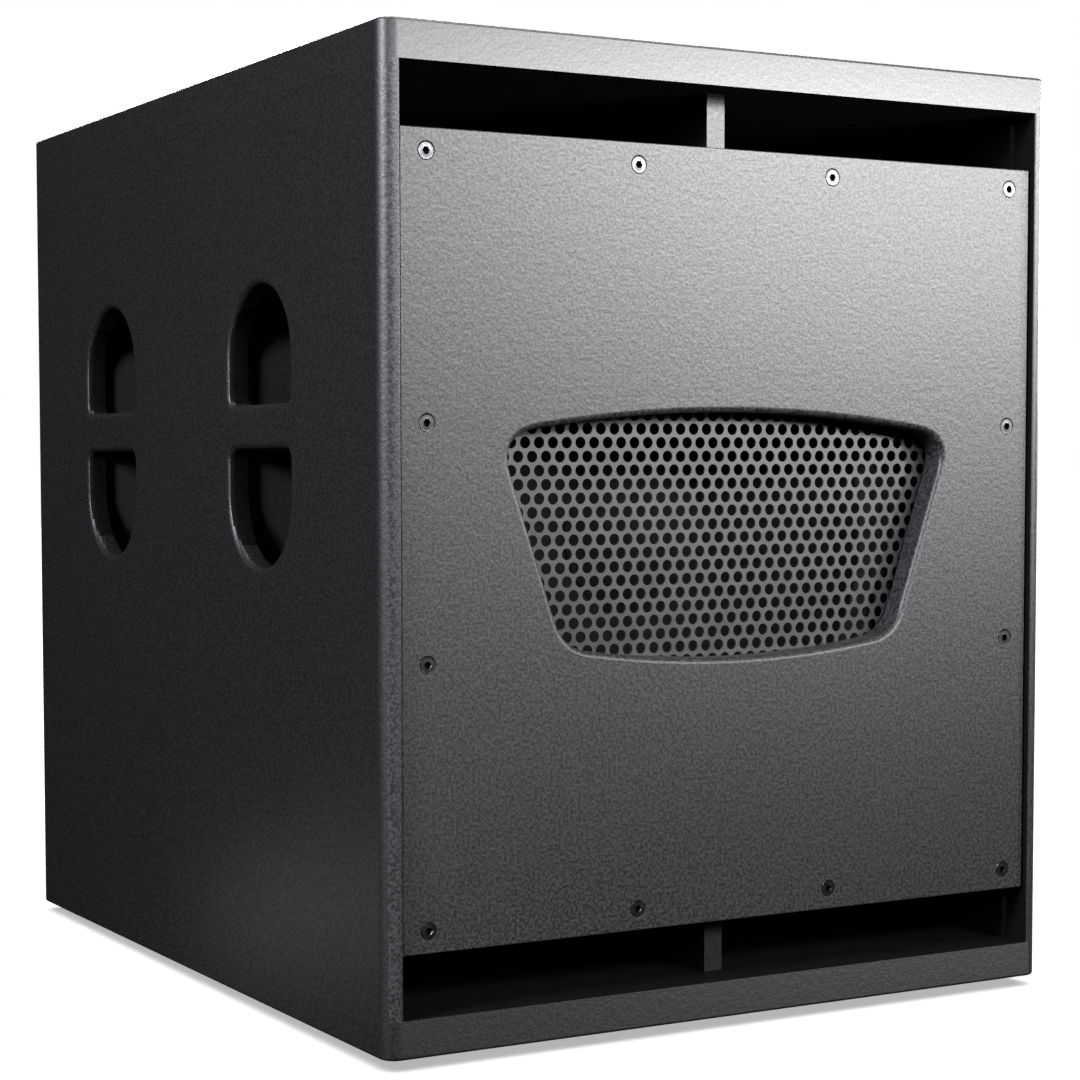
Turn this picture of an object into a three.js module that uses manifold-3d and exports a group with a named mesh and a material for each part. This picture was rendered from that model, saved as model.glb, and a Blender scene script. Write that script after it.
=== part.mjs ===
// A passive 18-inch subwoofer cabinet with a slot port above and below its front panel.
// Millimetres, +Z up, front towards -Y, origin on the floor under the middle of the box.
import * as THREE from "three";
import { mergeVertices } from "three/addons/utils/BufferGeometryUtils.js";
import Module from "manifold-3d";

const wasm = await Module();
wasm.setup();

// ---- Driving dimensions: the box ----
const WIDTH = 580;
const HEIGHT = 700;
const DEPTH = 700;
const FOOT_HEIGHT = 8;
const GAP = 0.3; // kept between pieces that touch
const EDGE_RADIUS = 12; // upright outer edges of the box
const EDGE_STEPS = 5;
const LID_THICKNESS = 27; // top and bottom boards
const SIDE_THICKNESS = 18;
const SIDE_LIP = 13.4; // what the front rebate leaves of the side board
const BOARD = 18; // front panel, frame, baffle, back, shelves and brace
const INSIDE_WIDTH = WIDTH - 2 * SIDE_THICKNESS;
const BRACE = { depth: 362, height: 80 }; // cross brace behind the driver
const BACK_RECESS = 5; // back panel's outer face, in from the rear edges

// ---- Front: panel, slots and frame ----
const PANEL_RECESS = 4; // panel face behind the front edges
const PANEL_WIDTH = 550;
const PANEL_HEIGHT = 559;
const FRAME_DEPTH = PANEL_RECESS + BOARD + GAP; // front of the frame behind the panel
const FRAME_BAR = 34;
const SHELF_DEPTH = FRAME_DEPTH + BOARD + GAP;
const SHELF_REAR = 440;
const DIVIDER_THICKNESS = 15.5;
const DIVIDER_DEPTH = 32;
const SCREW_COLUMNS = [-255, -85, 85, 255];
const SCREW_ROW = 264; // top and bottom rows, above and below mid-height
const SIDE_SCREW_ROW = 82;
const PANEL_SCREW = {
  head: 6,
  rim: 0.5,
  shank: 2.9,
  cone: 3.8,
  length: 33,
  tip: 2,
  socketRadius: 2.3,
  socketDepth: 2.4,
};
const SCREW_CLEARANCE = 0.4;

// ---- Window in the front panel: arched top and bottom, sides leaning in downwards ----
const WINDOW_TOP_HALF = 198;
const WINDOW_BOTTOM_HALF = 146.5;
const WINDOW_TOP = 74; // upper corners above mid-height
const WINDOW_BOTTOM = -74.5;
const WINDOW_TOP_CROWN = 17;
const WINDOW_BOTTOM_CROWN = 12.5;
const WINDOW_TOP_TRIM = 30; // length of edge that each rounded corner takes
const WINDOW_BOTTOM_TRIM = 20;
const GASKET_THICKNESS = 3.4;
const GASKET_INSET = 2.5; // from the window's edge and from the grille's
const GRILLE_THICKNESS = 1.5;
const GRILLE_MARGIN = 20; // grille past the window's edge

// ---- Hand-holes: two D shapes with a grip bar between, a cup behind each pair ----
const HAND_HOLE_WIDTH = 108;
const HAND_HOLE_HEIGHT = 88.5;
const GRIP_BAR = 33;
const GRIP_HEIGHT = 432.5;
const GRIP_DEPTHS = { front: 202.5, rear: 508 };
const HAND_HOLE_CORNER = 9;
const CUP_WALL = 6;
const CUP_DEPTH = 65;
const CUP_CLEARANCE = 6; // cup's inside past the hand-holes

// ---- Driver: axis along Y at mid-height ----
const DRIVER_HEIGHT = HEIGHT / 2;
const BAFFLE_DEPTH = 75.3;
const FLANGE_RADIUS = 231;
const BOLT_CIRCLE_RADIUS = 220;
const BAFFLE_HOLE_RADIUS = 211.5;
const BOLT_COUNT = 8;
const BOLT_RADIUS = 2.5;
const BOLT_HOLE_RADIUS = 3;
const GASKET_FRONT = 65.7; // ring under the bolt heads
const FLANGE_FRONT = 69;
const FLANGE_BACK = 75;
const BASKET_WINDOWS = 6;
const BASKET_WINDOW = { width: 62, depth: 90, height: 96, radius: 153, middle: 128 };
const THROAT = { outer: 209.5, inner: 199, outerBack: 96, innerBack: 93 };
const SPOKE_OUTSIDE = { front: [196, 104], back: [120, 160] }; // radius, depth
const SPOKE_INSIDE = { front: [190, 99], back: [116, 150] };
const BASKET_CUP = { radius: 112, from: 166, to: 177.7, hole: 70, floor: 173 };
const SPIDER_LEDGE = { outer: 100, inner: 86, depth: 159 };
const SPIDER_SEAT = 158.2;
const TOP_PLATE = { outer: 105, inner: 53, from: 178, to: 188 };
const MAGNET = { outer: 110, inner: 60, from: 188.3, to: 210.3 };
const POLE = { radius: 49, front: 177, vent: 15 };
const POLE_PLATE = { outer: 105, from: 210.6, to: 220.6 };
const VOICE_COIL = { outer: 51.6, inner: 50.2, from: 144, to: 196 };
const CONE_RADIUS = 178;
const CONE_RIM_DEPTH = 74;
const CONE_NECK_RADIUS = 52.3;
const CONE_NECK_DEPTH = 146;
const DRIVER_SIDES = 28;
const MOTOR_SIDES = 20;

// ---- Feet and rear connector dish ----
const FOOT_RADIUS = 19;
const FOOT_PLACES = { x: 225, y: 290 };
const DISH_HEIGHT = 250;
const DISH_SIZE = { width: 150, height: 96, depth: 40 };
const DISH_FLANGE = 12;
const DISH_WALL = 3;
const DISH_FLOOR = DEPTH - BACK_RECESS + 2 * DISH_WALL - DISH_SIZE.depth + 2 * GAP; // sockets stand on it
const SOCKET_SPACING = 64;
const SOCKET_RADIUS = 11.8;
const SOCKET_FLANGE = { width: 26, height: 31, thickness: 2.5, corner: 3 };
const SOCKET_BARREL = 24; // reaches this far into the box
const SOCKET_BORE = { radius: 9.8, depth: 18 };
const SOCKET_POST = { radius: 4, length: 11 };
const LEAD_RADIUS = 2.5;
const LEAD_SPACING = 10; // between the two leads at the socket

const X_AXIS = new THREE.Vector3(1, 0, 0);
const Y_AXIS = new THREE.Vector3(0, 1, 0);
const Z_AXIS = new THREE.Vector3(0, 0, 1);
const FACING_FRONT = new THREE.Matrix4().makeBasis(X_AXIS, Z_AXIS, Y_AXIS.clone().negate());
const FACING_SIDE = new THREE.Matrix4().makeBasis(Y_AXIS, Z_AXIS, X_AXIS);

// ---- Finishes ----
const FINISHES = {
  paint: { color: 0x2c2c30, roughness: 0.7, metalness: 0 },
  innerPaint: { color: 0x1a1a1c, roughness: 0.85, metalness: 0 },
  wood: { color: 0xb59a72, roughness: 0.7, metalness: 0 },
  grille: { color: 0x4a4a4c, roughness: 0.5, metalness: 0.6 },
  steel: { color: 0x8a8a8c, roughness: 0.35, metalness: 0.9 },
  rubber: { color: 0x141414, roughness: 0.9, metalness: 0 },
  foam: { color: 0x202022, roughness: 1, metalness: 0 },
  plastic: { color: 0x18181a, roughness: 0.55, metalness: 0 },
  castFrame: { color: 0x303033, roughness: 0.55, metalness: 0.7 },
  ferrite: { color: 0x2a2a2c, roughness: 0.8, metalness: 0.1 },
  coil: { color: 0xb8743a, roughness: 0.4, metalness: 0.7 },
  paper: { color: 0x232325, roughness: 0.95, metalness: 0 },
  cloth: { color: 0x1c1c1e, roughness: 0.9, metalness: 0 },
  spiderCloth: { color: 0xb08a4a, roughness: 0.95, metalness: 0 },
  redLead: { color: 0x9c2222, roughness: 0.6, metalness: 0 },
  blackLead: { color: 0x161616, roughness: 0.6, metalness: 0 },
};

// Places on the box are given as a depth from its front edges.
function fromFront(depth) {
  return depth - DEPTH / 2;
}

// ---- Solids and booleans ----
function asSolid(geometry) {
  const bare = geometry.clone();
  bare.deleteAttribute("normal");
  bare.deleteAttribute("uv");
  const merged = mergeVertices(bare, 1e-4);
  return new wasm.Manifold(
    new wasm.Mesh({
      numProp: 3,
      vertProperties: merged.attributes.position.array,
      triVerts: new Uint32Array(merged.index.array),
    }),
  );
}

function asGeometry(solid) {
  const { vertProperties, triVerts } = solid.getMesh();
  const geometry = new THREE.BufferGeometry();
  geometry.setAttribute("position", new THREE.BufferAttribute(vertProperties, 3));
  geometry.setIndex(new THREE.BufferAttribute(triVerts, 1));
  geometry.computeVertexNormals();
  return geometry;
}

function subtract(base, cutters) {
  const left = cutters.reduce((solid, cutter) => solid.subtract(asSolid(cutter)), asSolid(base));
  return asGeometry(left);
}

function unite(geometries) {
  const [first, ...rest] = geometries.map(asSolid);
  return asGeometry(rest.reduce((solid, other) => solid.add(other), first));
}

// ---- Shapes ----
function box(width, depth, height, x = 0, y = 0, z = 0) {
  return new THREE.BoxGeometry(width, depth, height).translate(x, y, z);
}

// A round bar along Y between two depths of its own frame.
function bar(radius, from, to, x = 0, z = 0, sides = 16) {
  const cylinder = new THREE.CylinderGeometry(radius, radius, to - from, sides);
  return cylinder.translate(x, (from + to) / 2, z);
}

function extrude(shape, thickness) {
  return new THREE.ExtrudeGeometry(shape, { depth: thickness, bevelEnabled: false });
}

// An upright plate drawn as seen from the front, with its front face at depth 0.
function frontPlate(shape, thickness) {
  return extrude(shape, thickness).applyMatrix4(FACING_FRONT).translate(0, thickness, 0);
}

// Points of an arc, from one angle to another in degrees.
function arc(x, y, radius, from, to, steps) {
  return Array.from({ length: steps + 1 }, (_, i) => {
    const angle = THREE.MathUtils.degToRad(from + ((to - from) * i) / steps);
    return new THREE.Vector2(x + radius * Math.cos(angle), y + radius * Math.sin(angle));
  });
}

function rectangle(width, height) {
  const corners = [
    [-width, -height],
    [width, -height],
    [width, height],
    [-width, height],
  ];
  return new THREE.Shape(corners.map(([u, v]) => new THREE.Vector2(u / 2, v / 2)));
}

function roundedRectangle(width, height, radius, steps) {
  const right = width / 2 - radius;
  const top = height / 2 - radius;
  return new THREE.Shape([
    ...arc(right, top, radius, 0, 90, steps),
    ...arc(-right, top, radius, 90, 180, steps),
    ...arc(-right, -top, radius, 180, 270, steps),
    ...arc(right, -top, radius, 270, 360, steps),
  ]);
}

// A ring turned about Y. Its profile, as [radius, depth] pairs, runs anticlockwise and is closed here.
function turned(profile, sides) {
  const closed = [...profile, profile[0]];
  const points = closed.map(([radius, depth]) => new THREE.Vector2(radius, depth));
  return new THREE.LatheGeometry(points, sides);
}

// A turned piece that reaches its own axis, where its profile starts low and ends high.
function turnedSolid(profile, sides) {
  const points = profile.map(([radius, depth]) => new THREE.Vector2(radius, depth));
  return new THREE.LatheGeometry(points, sides);
}

// A turned sheet of even thickness whose middle follows depthAt(radius).
function turnedSheet(radii, depthAt, thickness, sides) {
  const back = radii.map((radius) => [radius, depthAt(radius) + thickness / 2]);
  const front = radii.map((radius) => [radius, depthAt(radius) - thickness / 2]);
  return turned([...front, ...back.reverse()], sides);
}

function evenly(from, to, steps) {
  return Array.from({ length: steps + 1 }, (_, i) => from + ((to - from) * i) / steps);
}

// ---- Placing ----
function piece(name, geometry, finish, x = 0, y = 0, z = 0) {
  const mesh = new THREE.Mesh(geometry, new THREE.MeshStandardMaterial(FINISHES[finish]));
  mesh.name = name;
  mesh.position.set(x, y, z);
  return mesh;
}

// ---- Front panel ----
function panelScrewPlaces() {
  const rows = SCREW_COLUMNS.flatMap((x) => [
    [x, SCREW_ROW],
    [x, -SCREW_ROW],
  ]);
  const edge = SCREW_COLUMNS[SCREW_COLUMNS.length - 1];
  const sides = [-edge, edge].flatMap((x) => [
    [x, SIDE_SCREW_ROW],
    [x, -SIDE_SCREW_ROW],
  ]);
  return [...rows, ...sides];
}

// A point of an arch that spans -half to half and rises by crown in the middle.
function archPoint(x, half, corner, crown) {
  return [x, corner + crown * (1 - (x / half) ** 2)];
}

// The window's outline about mid-height, grown outwards by a margin.
function windowOutline(margin) {
  const topHalf = WINDOW_TOP_HALF + margin;
  const bottomHalf = WINDOW_BOTTOM_HALF + margin;
  const top = WINDOW_TOP + margin;
  const bottom = WINDOW_BOTTOM - margin;
  const lean = new THREE.Vector2(topHalf - bottomHalf, top - bottom).normalize();
  const topFlat = topHalf - WINDOW_TOP_TRIM;
  const bottomFlat = bottomHalf - WINDOW_BOTTOM_TRIM;
  const topArch = (x) => archPoint(x, topHalf, top, WINDOW_TOP_CROWN);
  const bottomArch = (x) => archPoint(x, bottomHalf, bottom, -WINDOW_BOTTOM_CROWN);
  const sideTop = [topHalf - lean.x * WINDOW_TOP_TRIM, top - lean.y * WINDOW_TOP_TRIM];
  const sideBottom = [bottomHalf + lean.x * WINDOW_BOTTOM_TRIM, bottom + lean.y * WINDOW_BOTTOM_TRIM];
  const archSteps = 8;
  const cornerSteps = 5;
  const corner = (from, control, to) =>
    new THREE.QuadraticBezierCurve(
      new THREE.Vector2(...from),
      new THREE.Vector2(...control),
      new THREE.Vector2(...to),
    ).getPoints(cornerSteps);
  const arch = (from, to, at) => evenly(from, to, archSteps).map((x) => new THREE.Vector2(...at(x)));
  const mirror = ([x, y]) => [-x, y];
  const outline = [
    ...arch(-bottomFlat, bottomFlat, bottomArch),
    ...corner(bottomArch(bottomFlat), [bottomHalf, bottom], sideBottom),
    ...corner(sideTop, [topHalf, top], topArch(topFlat)),
    ...arch(topFlat, -topFlat, topArch),
    ...corner(topArch(-topFlat), [-topHalf, top], mirror(sideTop)),
    ...corner(mirror(sideBottom), [-bottomHalf, bottom], bottomArch(-bottomFlat)),
  ];
  return outline.filter((point, i) => point.distanceTo(outline[(i + 1) % outline.length]) > GAP);
}

// A countersunk screw pointing backwards from its head's face at depth 0.
function countersunkScrew() {
  const { head, rim, shank, cone, length, tip } = PANEL_SCREW;
  const profile = [
    [0, 0],
    [head, 0],
    [head, rim],
    [shank, cone],
    [shank, length - tip],
    [0, length],
  ];
  const socket = bar(PANEL_SCREW.socketRadius, -1, PANEL_SCREW.socketDepth, 0, 0, 6);
  return subtract(turnedSolid(profile, 10), [socket]);
}

// The hole that the screw sits in, a little wider all round.
function screwHole() {
  const { head, rim, shank, cone, length } = PANEL_SCREW;
  const profile = [
    [0, -1],
    [head + SCREW_CLEARANCE, -1],
    [head + SCREW_CLEARANCE, rim + GAP],
    [shank + SCREW_CLEARANCE, cone + GAP],
    [shank + SCREW_CLEARANCE, length],
    [0, length],
  ];
  return turnedSolid(profile, 12);
}

function frontPanel() {
  const shape = rectangle(PANEL_WIDTH, PANEL_HEIGHT);
  shape.holes.push(new THREE.Path(windowOutline(0)));
  const holes = panelScrewPlaces().map(([x, z]) => screwHole().translate(x, 0, z));
  const board = subtract(frontPlate(shape, BOARD), holes);
  return piece("front_panel", board, "paint", 0, fromFront(PANEL_RECESS), HEIGHT / 2);
}

function panelScrews() {
  return panelScrewPlaces().map(([x, z], i) => {
    const name = "panel_screw_" + String(i + 1).padStart(2, "0");
    return piece(name, countersunkScrew(), "steel", x, fromFront(PANEL_RECESS + GAP), HEIGHT / 2 + z);
  });
}

function frontFrame() {
  const width = INSIDE_WIDTH - 2 * GAP;
  const frame = subtract(box(width, BOARD, PANEL_HEIGHT), [
    box(width - 2 * FRAME_BAR, BOARD + 2, PANEL_HEIGHT - 2 * FRAME_BAR),
    ...panelScrewPlaces().map(([x, z]) => bar(PANEL_SCREW.shank + SCREW_CLEARANCE, -BOARD, BOARD, x, z, 10)),
  ]);
  return piece("front_frame", frame, "innerPaint", 0, fromFront(FRAME_DEPTH + BOARD / 2), HEIGHT / 2);
}

function grille() {
  const plate = frontPlate(new THREE.Shape(windowOutline(GRILLE_MARGIN)), GRILLE_THICKNESS);
  const depth = PANEL_RECESS + BOARD + 2 * GAP + GASKET_THICKNESS;
  return piece("grille", plate, "grille", 0, fromFront(depth), HEIGHT / 2);
}

function grilleGasket() {
  const shape = new THREE.Shape(windowOutline(GRILLE_MARGIN - GASKET_INSET));
  shape.holes.push(new THREE.Path(windowOutline(GASKET_INSET)));
  const ring = frontPlate(shape, GASKET_THICKNESS);
  return piece("grille_gasket", ring, "foam", 0, fromFront(PANEL_RECESS + BOARD + GAP), HEIGHT / 2);
}

// ---- The box ----
function lidBoard(name, z) {
  const shape = roundedRectangle(WIDTH, DEPTH, EDGE_RADIUS, EDGE_STEPS);
  return piece(name, extrude(shape, LID_THICKNESS), "paint", 0, 0, z);
}

// A hand-hole's outline: flat along the grip bar at v = 0, half round at its far end.
function handHoleOutline() {
  const half = HAND_HOLE_WIDTH / 2;
  const shoulder = HAND_HOLE_HEIGHT - half;
  const corner = HAND_HOLE_CORNER;
  return new THREE.Shape([
    ...arc(half - corner, corner, corner, -90, 0, 3),
    ...arc(0, shoulder, half, 0, 180, 12),
    ...arc(-half + corner, corner, corner, 180, 270, 3),
  ]);
}

// One hand-hole as a cutter through a side board: up is 1 above the grip bar, -1 below it.
function handHoleCutter(depth, up) {
  const overrun = 5;
  const cutter = extrude(handHoleOutline(), SIDE_THICKNESS + 2 * overrun).applyMatrix4(FACING_SIDE);
  const placed = up > 0 ? cutter : cutter.rotateX(Math.PI);
  return placed.translate(-overrun, depth, GRIP_HEIGHT + (up * GRIP_BAR) / 2);
}

// The left side board: rounded outer edges, and a rebate that takes the front panel's edge.
function sideBoard(name) {
  const shape = new THREE.Shape([
    new THREE.Vector2(SIDE_LIP, 0),
    new THREE.Vector2(SIDE_LIP, FRAME_DEPTH),
    new THREE.Vector2(SIDE_THICKNESS, FRAME_DEPTH),
    new THREE.Vector2(SIDE_THICKNESS, DEPTH),
    ...arc(EDGE_RADIUS, DEPTH - EDGE_RADIUS, EDGE_RADIUS, 90, 180, EDGE_STEPS),
    ...arc(EDGE_RADIUS, EDGE_RADIUS, EDGE_RADIUS, 180, 270, EDGE_STEPS),
  ]);
  const low = LID_THICKNESS + GAP;
  const board = extrude(shape, HEIGHT - 2 * low).translate(0, 0, low);
  const cutters = Object.values(GRIP_DEPTHS).flatMap((depth) => [
    handHoleCutter(depth, 1),
    handHoleCutter(depth, -1),
  ]);
  return piece(name, subtract(board, cutters), "paint", -WIDTH / 2, fromFront(0), 0);
}

// The box behind a pair of hand-holes, open towards the side board.
function handleCup(name, depth) {
  const width = HAND_HOLE_WIDTH + 2 * CUP_CLEARANCE;
  const height = GRIP_BAR + 2 * HAND_HOLE_HEIGHT + 2 * CUP_CLEARANCE;
  const outer = box(CUP_DEPTH, width + 2 * CUP_WALL, height + 2 * CUP_WALL);
  const inner = box(CUP_DEPTH, width, height, -CUP_WALL);
  const x = -INSIDE_WIDTH / 2 + GAP + CUP_DEPTH / 2;
  return piece(name, subtract(outer, [inner]), "innerPaint", x, fromFront(depth), GRIP_HEIGHT);
}

// A side board with its two handle cups, built as the left side and mirrored for the right.
function side(name) {
  const group = new THREE.Group();
  group.add(sideBoard("side_panel_" + name));
  for (const [place, depth] of Object.entries(GRIP_DEPTHS)) {
    group.add(handleCup("handle_cup_" + place + "_" + name, depth));
  }
  group.scale.x = name === "left" ? 1 : -1;
  return group;
}

function backPanel() {
  const width = INSIDE_WIDTH - 2 * GAP;
  const height = HEIGHT - 2 * (LID_THICKNESS + GAP);
  const hole = box(DISH_SIZE.width + 1, BOARD + 2, DISH_SIZE.height + 1, 0, 0, DISH_HEIGHT - HEIGHT / 2);
  const board = subtract(box(width, BOARD, height), [hole]);
  const depth = DEPTH - BACK_RECESS - BOARD / 2;
  return piece("back_panel", board, "paint", 0, fromFront(depth), HEIGHT / 2);
}

// ---- Ports ----
// Lower and upper slot share their parts, set about mid-height: up is 1 or -1.
function slotPort(name, up) {
  const group = new THREE.Group();
  const slotEdge = PANEL_HEIGHT / 2;
  const slotHeight = HEIGHT / 2 - LID_THICKNESS - slotEdge;
  const length = SHELF_REAR - SHELF_DEPTH;
  const shelf = box(INSIDE_WIDTH - 2 * GAP, length, BOARD);
  const shelfY = fromFront(SHELF_DEPTH + length / 2);
  const shelfZ = HEIGHT / 2 + up * (slotEdge - BOARD / 2);
  group.add(piece("port_shelf_" + name, shelf, "innerPaint", 0, shelfY, shelfZ));
  const dividerLength = SHELF_REAR - DIVIDER_DEPTH;
  const divider = box(DIVIDER_THICKNESS, dividerLength, slotHeight - 2 * GAP);
  const dividerY = fromFront(DIVIDER_DEPTH + dividerLength / 2);
  const dividerZ = HEIGHT / 2 + up * (slotEdge + slotHeight / 2);
  group.add(piece("port_divider_" + name, divider, "paint", 0, dividerY, dividerZ));
  return group;
}

// ---- Driver ----
// Angles of things spread evenly round the axis, the first half a step past zero.
function spokes(count) {
  return Array.from({ length: count }, (_, i) => ((i + 0.5) * 2 * Math.PI) / count);
}

function boltPlaces() {
  return spokes(BOLT_COUNT).map((a) => [BOLT_CIRCLE_RADIUS * Math.cos(a), BOLT_CIRCLE_RADIUS * Math.sin(a)]);
}

function boltHoles(from, to) {
  return boltPlaces().map(([x, z]) => bar(BOLT_HOLE_RADIUS, from, to, x, z, 8));
}

function driverBaffle() {
  const width = INSIDE_WIDTH - 2 * GAP;
  const height = PANEL_HEIGHT - 2 * (BOARD + GAP);
  const to = BAFFLE_DEPTH + BOARD;
  const board = subtract(box(width, BOARD, height, 0, BAFFLE_DEPTH + BOARD / 2), [
    bar(BAFFLE_HOLE_RADIUS, BAFFLE_DEPTH - 1, to + 1, 0, 0, DRIVER_SIDES),
    ...boltHoles(BAFFLE_DEPTH - 1, to + 1),
  ]);
  return piece("driver_baffle", board, "innerPaint");
}

// Cast frame: mounting flange, conical wall with windows, spider ledge and rear ring.
function driverBasket() {
  const cup = BASKET_CUP;
  const wall = turned(
    [
      [FLANGE_RADIUS, FLANGE_FRONT],
      [FLANGE_RADIUS, FLANGE_BACK],
      [THROAT.outer, FLANGE_BACK],
      [THROAT.outer, THROAT.outerBack],
      SPOKE_OUTSIDE.front,
      SPOKE_OUTSIDE.back,
      [cup.radius, cup.from],
      [cup.radius, cup.to],
      [cup.hole, cup.to],
      [cup.hole, cup.floor],
      [SPIDER_LEDGE.inner, cup.floor],
      [SPIDER_LEDGE.inner, SPIDER_LEDGE.depth],
      [SPIDER_LEDGE.outer, SPIDER_LEDGE.depth],
      SPOKE_INSIDE.back,
      SPOKE_INSIDE.front,
      [THROAT.inner, THROAT.innerBack],
      [THROAT.inner, FLANGE_FRONT],
    ],
    DRIVER_SIDES,
  );
  const { width, depth, height, radius, middle } = BASKET_WINDOW;
  const windows = spokes(BASKET_WINDOWS).map((angle) =>
    box(width, depth, height, radius, middle).rotateY(angle),
  );
  const holes = boltHoles(FLANGE_FRONT - 1, FLANGE_BACK + 1);
  return piece("driver_basket", subtract(wall, [...windows, ...holes]), "castFrame");
}

// A flat ring about the driver's axis.
function flatRing({ outer, inner, from, to }, sides) {
  return turned(
    [
      [outer, from],
      [outer, to],
      [inner, to],
      [inner, from],
    ],
    sides,
  );
}

function driverGasket() {
  const size = { outer: FLANGE_RADIUS - 0.5, inner: 206.5, from: GASKET_FRONT, to: FLANGE_FRONT - GAP };
  const ring = flatRing(size, DRIVER_SIDES);
  return piece("driver_gasket", subtract(ring, boltHoles(size.from - 1, size.to + 1)), "foam");
}

function driverBolts() {
  const head = 5;
  const headDepth = 61;
  const seat = GASKET_FRONT - GAP;
  const tip = 101;
  const profile = [
    [0, headDepth],
    [head, headDepth],
    [head, seat],
    [BOLT_RADIUS, seat],
    [BOLT_RADIUS, tip],
    [0, tip],
  ];
  return boltPlaces().map(([x, z], i) =>
    piece("driver_bolt_" + (i + 1), turnedSolid(profile, 8), "steel", x, 0, z),
  );
}

function motor() {
  const pole = turned(
    [
      [POLE.radius, POLE.front],
      [POLE.radius, POLE_PLATE.from],
      [POLE_PLATE.outer, POLE_PLATE.from],
      [POLE_PLATE.outer, POLE_PLATE.to],
      [POLE.vent, POLE_PLATE.to],
      [POLE.vent, POLE.front],
    ],
    MOTOR_SIDES,
  );
  return [
    piece("top_plate", flatRing(TOP_PLATE, MOTOR_SIDES), "steel"),
    piece("magnet", flatRing(MAGNET, MOTOR_SIDES), "ferrite"),
    piece("pole_plate", pole, "steel"),
  ];
}

function coneDepth(radius) {
  const slope = (CONE_NECK_DEPTH - CONE_RIM_DEPTH) / (CONE_RADIUS - CONE_NECK_RADIUS);
  return CONE_NECK_DEPTH - (radius - CONE_NECK_RADIUS) * slope;
}

function movingParts() {
  const coneThickness = 2.4;
  const cone = turnedSheet(
    [CONE_NECK_RADIUS, CONE_RADIUS],
    (radius) => coneDepth(radius) + coneThickness / 2,
    coneThickness,
    DRIVER_SIDES,
  );
  const capRadius = 64;
  const capRise = 22;
  const capThickness = 1.4;
  const capRim = coneDepth(capRadius) - GAP - 0.2;
  const capDepth = (radius) => capRim - capRise * (1 - (radius / capRadius) ** 2);
  const capRadii = evenly(0, capRadius, 4);
  const capFront = capRadii.map((radius) => [radius, capDepth(radius) - capThickness]);
  const capBack = capRadii.map((radius) => [radius, capDepth(radius)]);
  const cap = turnedSolid([...capFront, ...capBack.reverse()], DRIVER_SIDES);
  return [
    piece("cone", cone, "paper"),
    piece("dust_cap", cap, "paper"),
    piece("voice_coil", flatRing(VOICE_COIL, MOTOR_SIDES), "coil"),
  ];
}

// Pleated surround: a lip on the cone, three rolls, and a lip on the basket's flange.
function surround() {
  const lipStart = 170;
  const rollEnd = 200;
  const lipEnd = 205.5;
  const seat = 68;
  const rollHeight = 5;
  const rolls = 3;
  const start = coneDepth(CONE_RADIUS) - 1.2;
  const depthAt = (radius) => {
    if (radius <= CONE_RADIUS) return coneDepth(radius) - 1.2;
    if (radius >= rollEnd) return seat;
    const along = (radius - CONE_RADIUS) / (rollEnd - CONE_RADIUS);
    return start + (seat - start) * along - rollHeight * Math.abs(Math.sin(rolls * Math.PI * along));
  };
  const radii = [lipStart, ...evenly(CONE_RADIUS, rollEnd, 2 * rolls), lipEnd];
  return piece("surround", turnedSheet(radii, depthAt, 1, DRIVER_SIDES), "cloth");
}

// Corrugated spider between the voice coil and the basket's ledge.
function spider() {
  const inner = 52.4;
  const outer = 86;
  const lip = 97;
  const waves = 6;
  const waveHeight = 2;
  const depthAt = (radius) => {
    if (radius >= outer) return SPIDER_SEAT;
    const wave = Math.round((waves * (radius - inner)) / (outer - inner)) % 2;
    return SPIDER_SEAT - waveHeight * wave;
  };
  const radii = [...evenly(inner, outer, waves), lip];
  return piece("spider", turnedSheet(radii, depthAt, 0.8, DRIVER_SIDES), "spiderCloth");
}

// Where the leads meet the driver, and where they leave the sockets.
const TERMINAL = { x: 12, z: -118.3, blockFrom: 167, blockTo: 177, postTo: 186 };

function terminalBlock() {
  const { x, z, blockFrom, blockTo, postTo } = TERMINAL;
  const block = unite([
    box(40, blockTo - blockFrom, 12, 0, (blockFrom + blockTo) / 2, z),
    bar(3, blockTo - 1, postTo, -x, z, 8),
    bar(3, blockTo - 1, postTo, x, z, 8),
  ]);
  return piece("terminal_block", block, "plastic");
}

function driver() {
  const group = new THREE.Group();
  group.position.set(0, fromFront(0), DRIVER_HEIGHT);
  group.add(driverBaffle(), driverBasket(), driverGasket(), surround(), spider(), terminalBlock());
  group.add(...driverBolts(), ...motor(), ...movingParts());
  return group;
}

// ---- Rear connector dish, sockets and internal leads ----
// The dish opens towards the rear; its flange lies on the back panel's outer face.
function connectorDish() {
  const { width, height, depth } = DISH_SIZE;
  const flange = box(width + 2 * DISH_FLANGE, DISH_WALL, height + 2 * DISH_FLANGE, 0, DISH_WALL / 2);
  const tub = box(width, depth, height, 0, DISH_WALL - depth / 2);
  const hollow = box(width - 2 * DISH_WALL, depth, height - 2 * DISH_WALL, 0, 2 * DISH_WALL - depth / 2);
  const holes = [-1, 1].map((hand) =>
    bar(SOCKET_RADIUS + GAP, -depth, depth, (hand * SOCKET_SPACING) / 2, 0, 20),
  );
  const dish = subtract(unite([flange, tub]), [hollow, ...holes]);
  const y = fromFront(DEPTH - BACK_RECESS + GAP);
  return piece("connector_dish", dish, "plastic", 0, y, DISH_HEIGHT);
}

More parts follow.
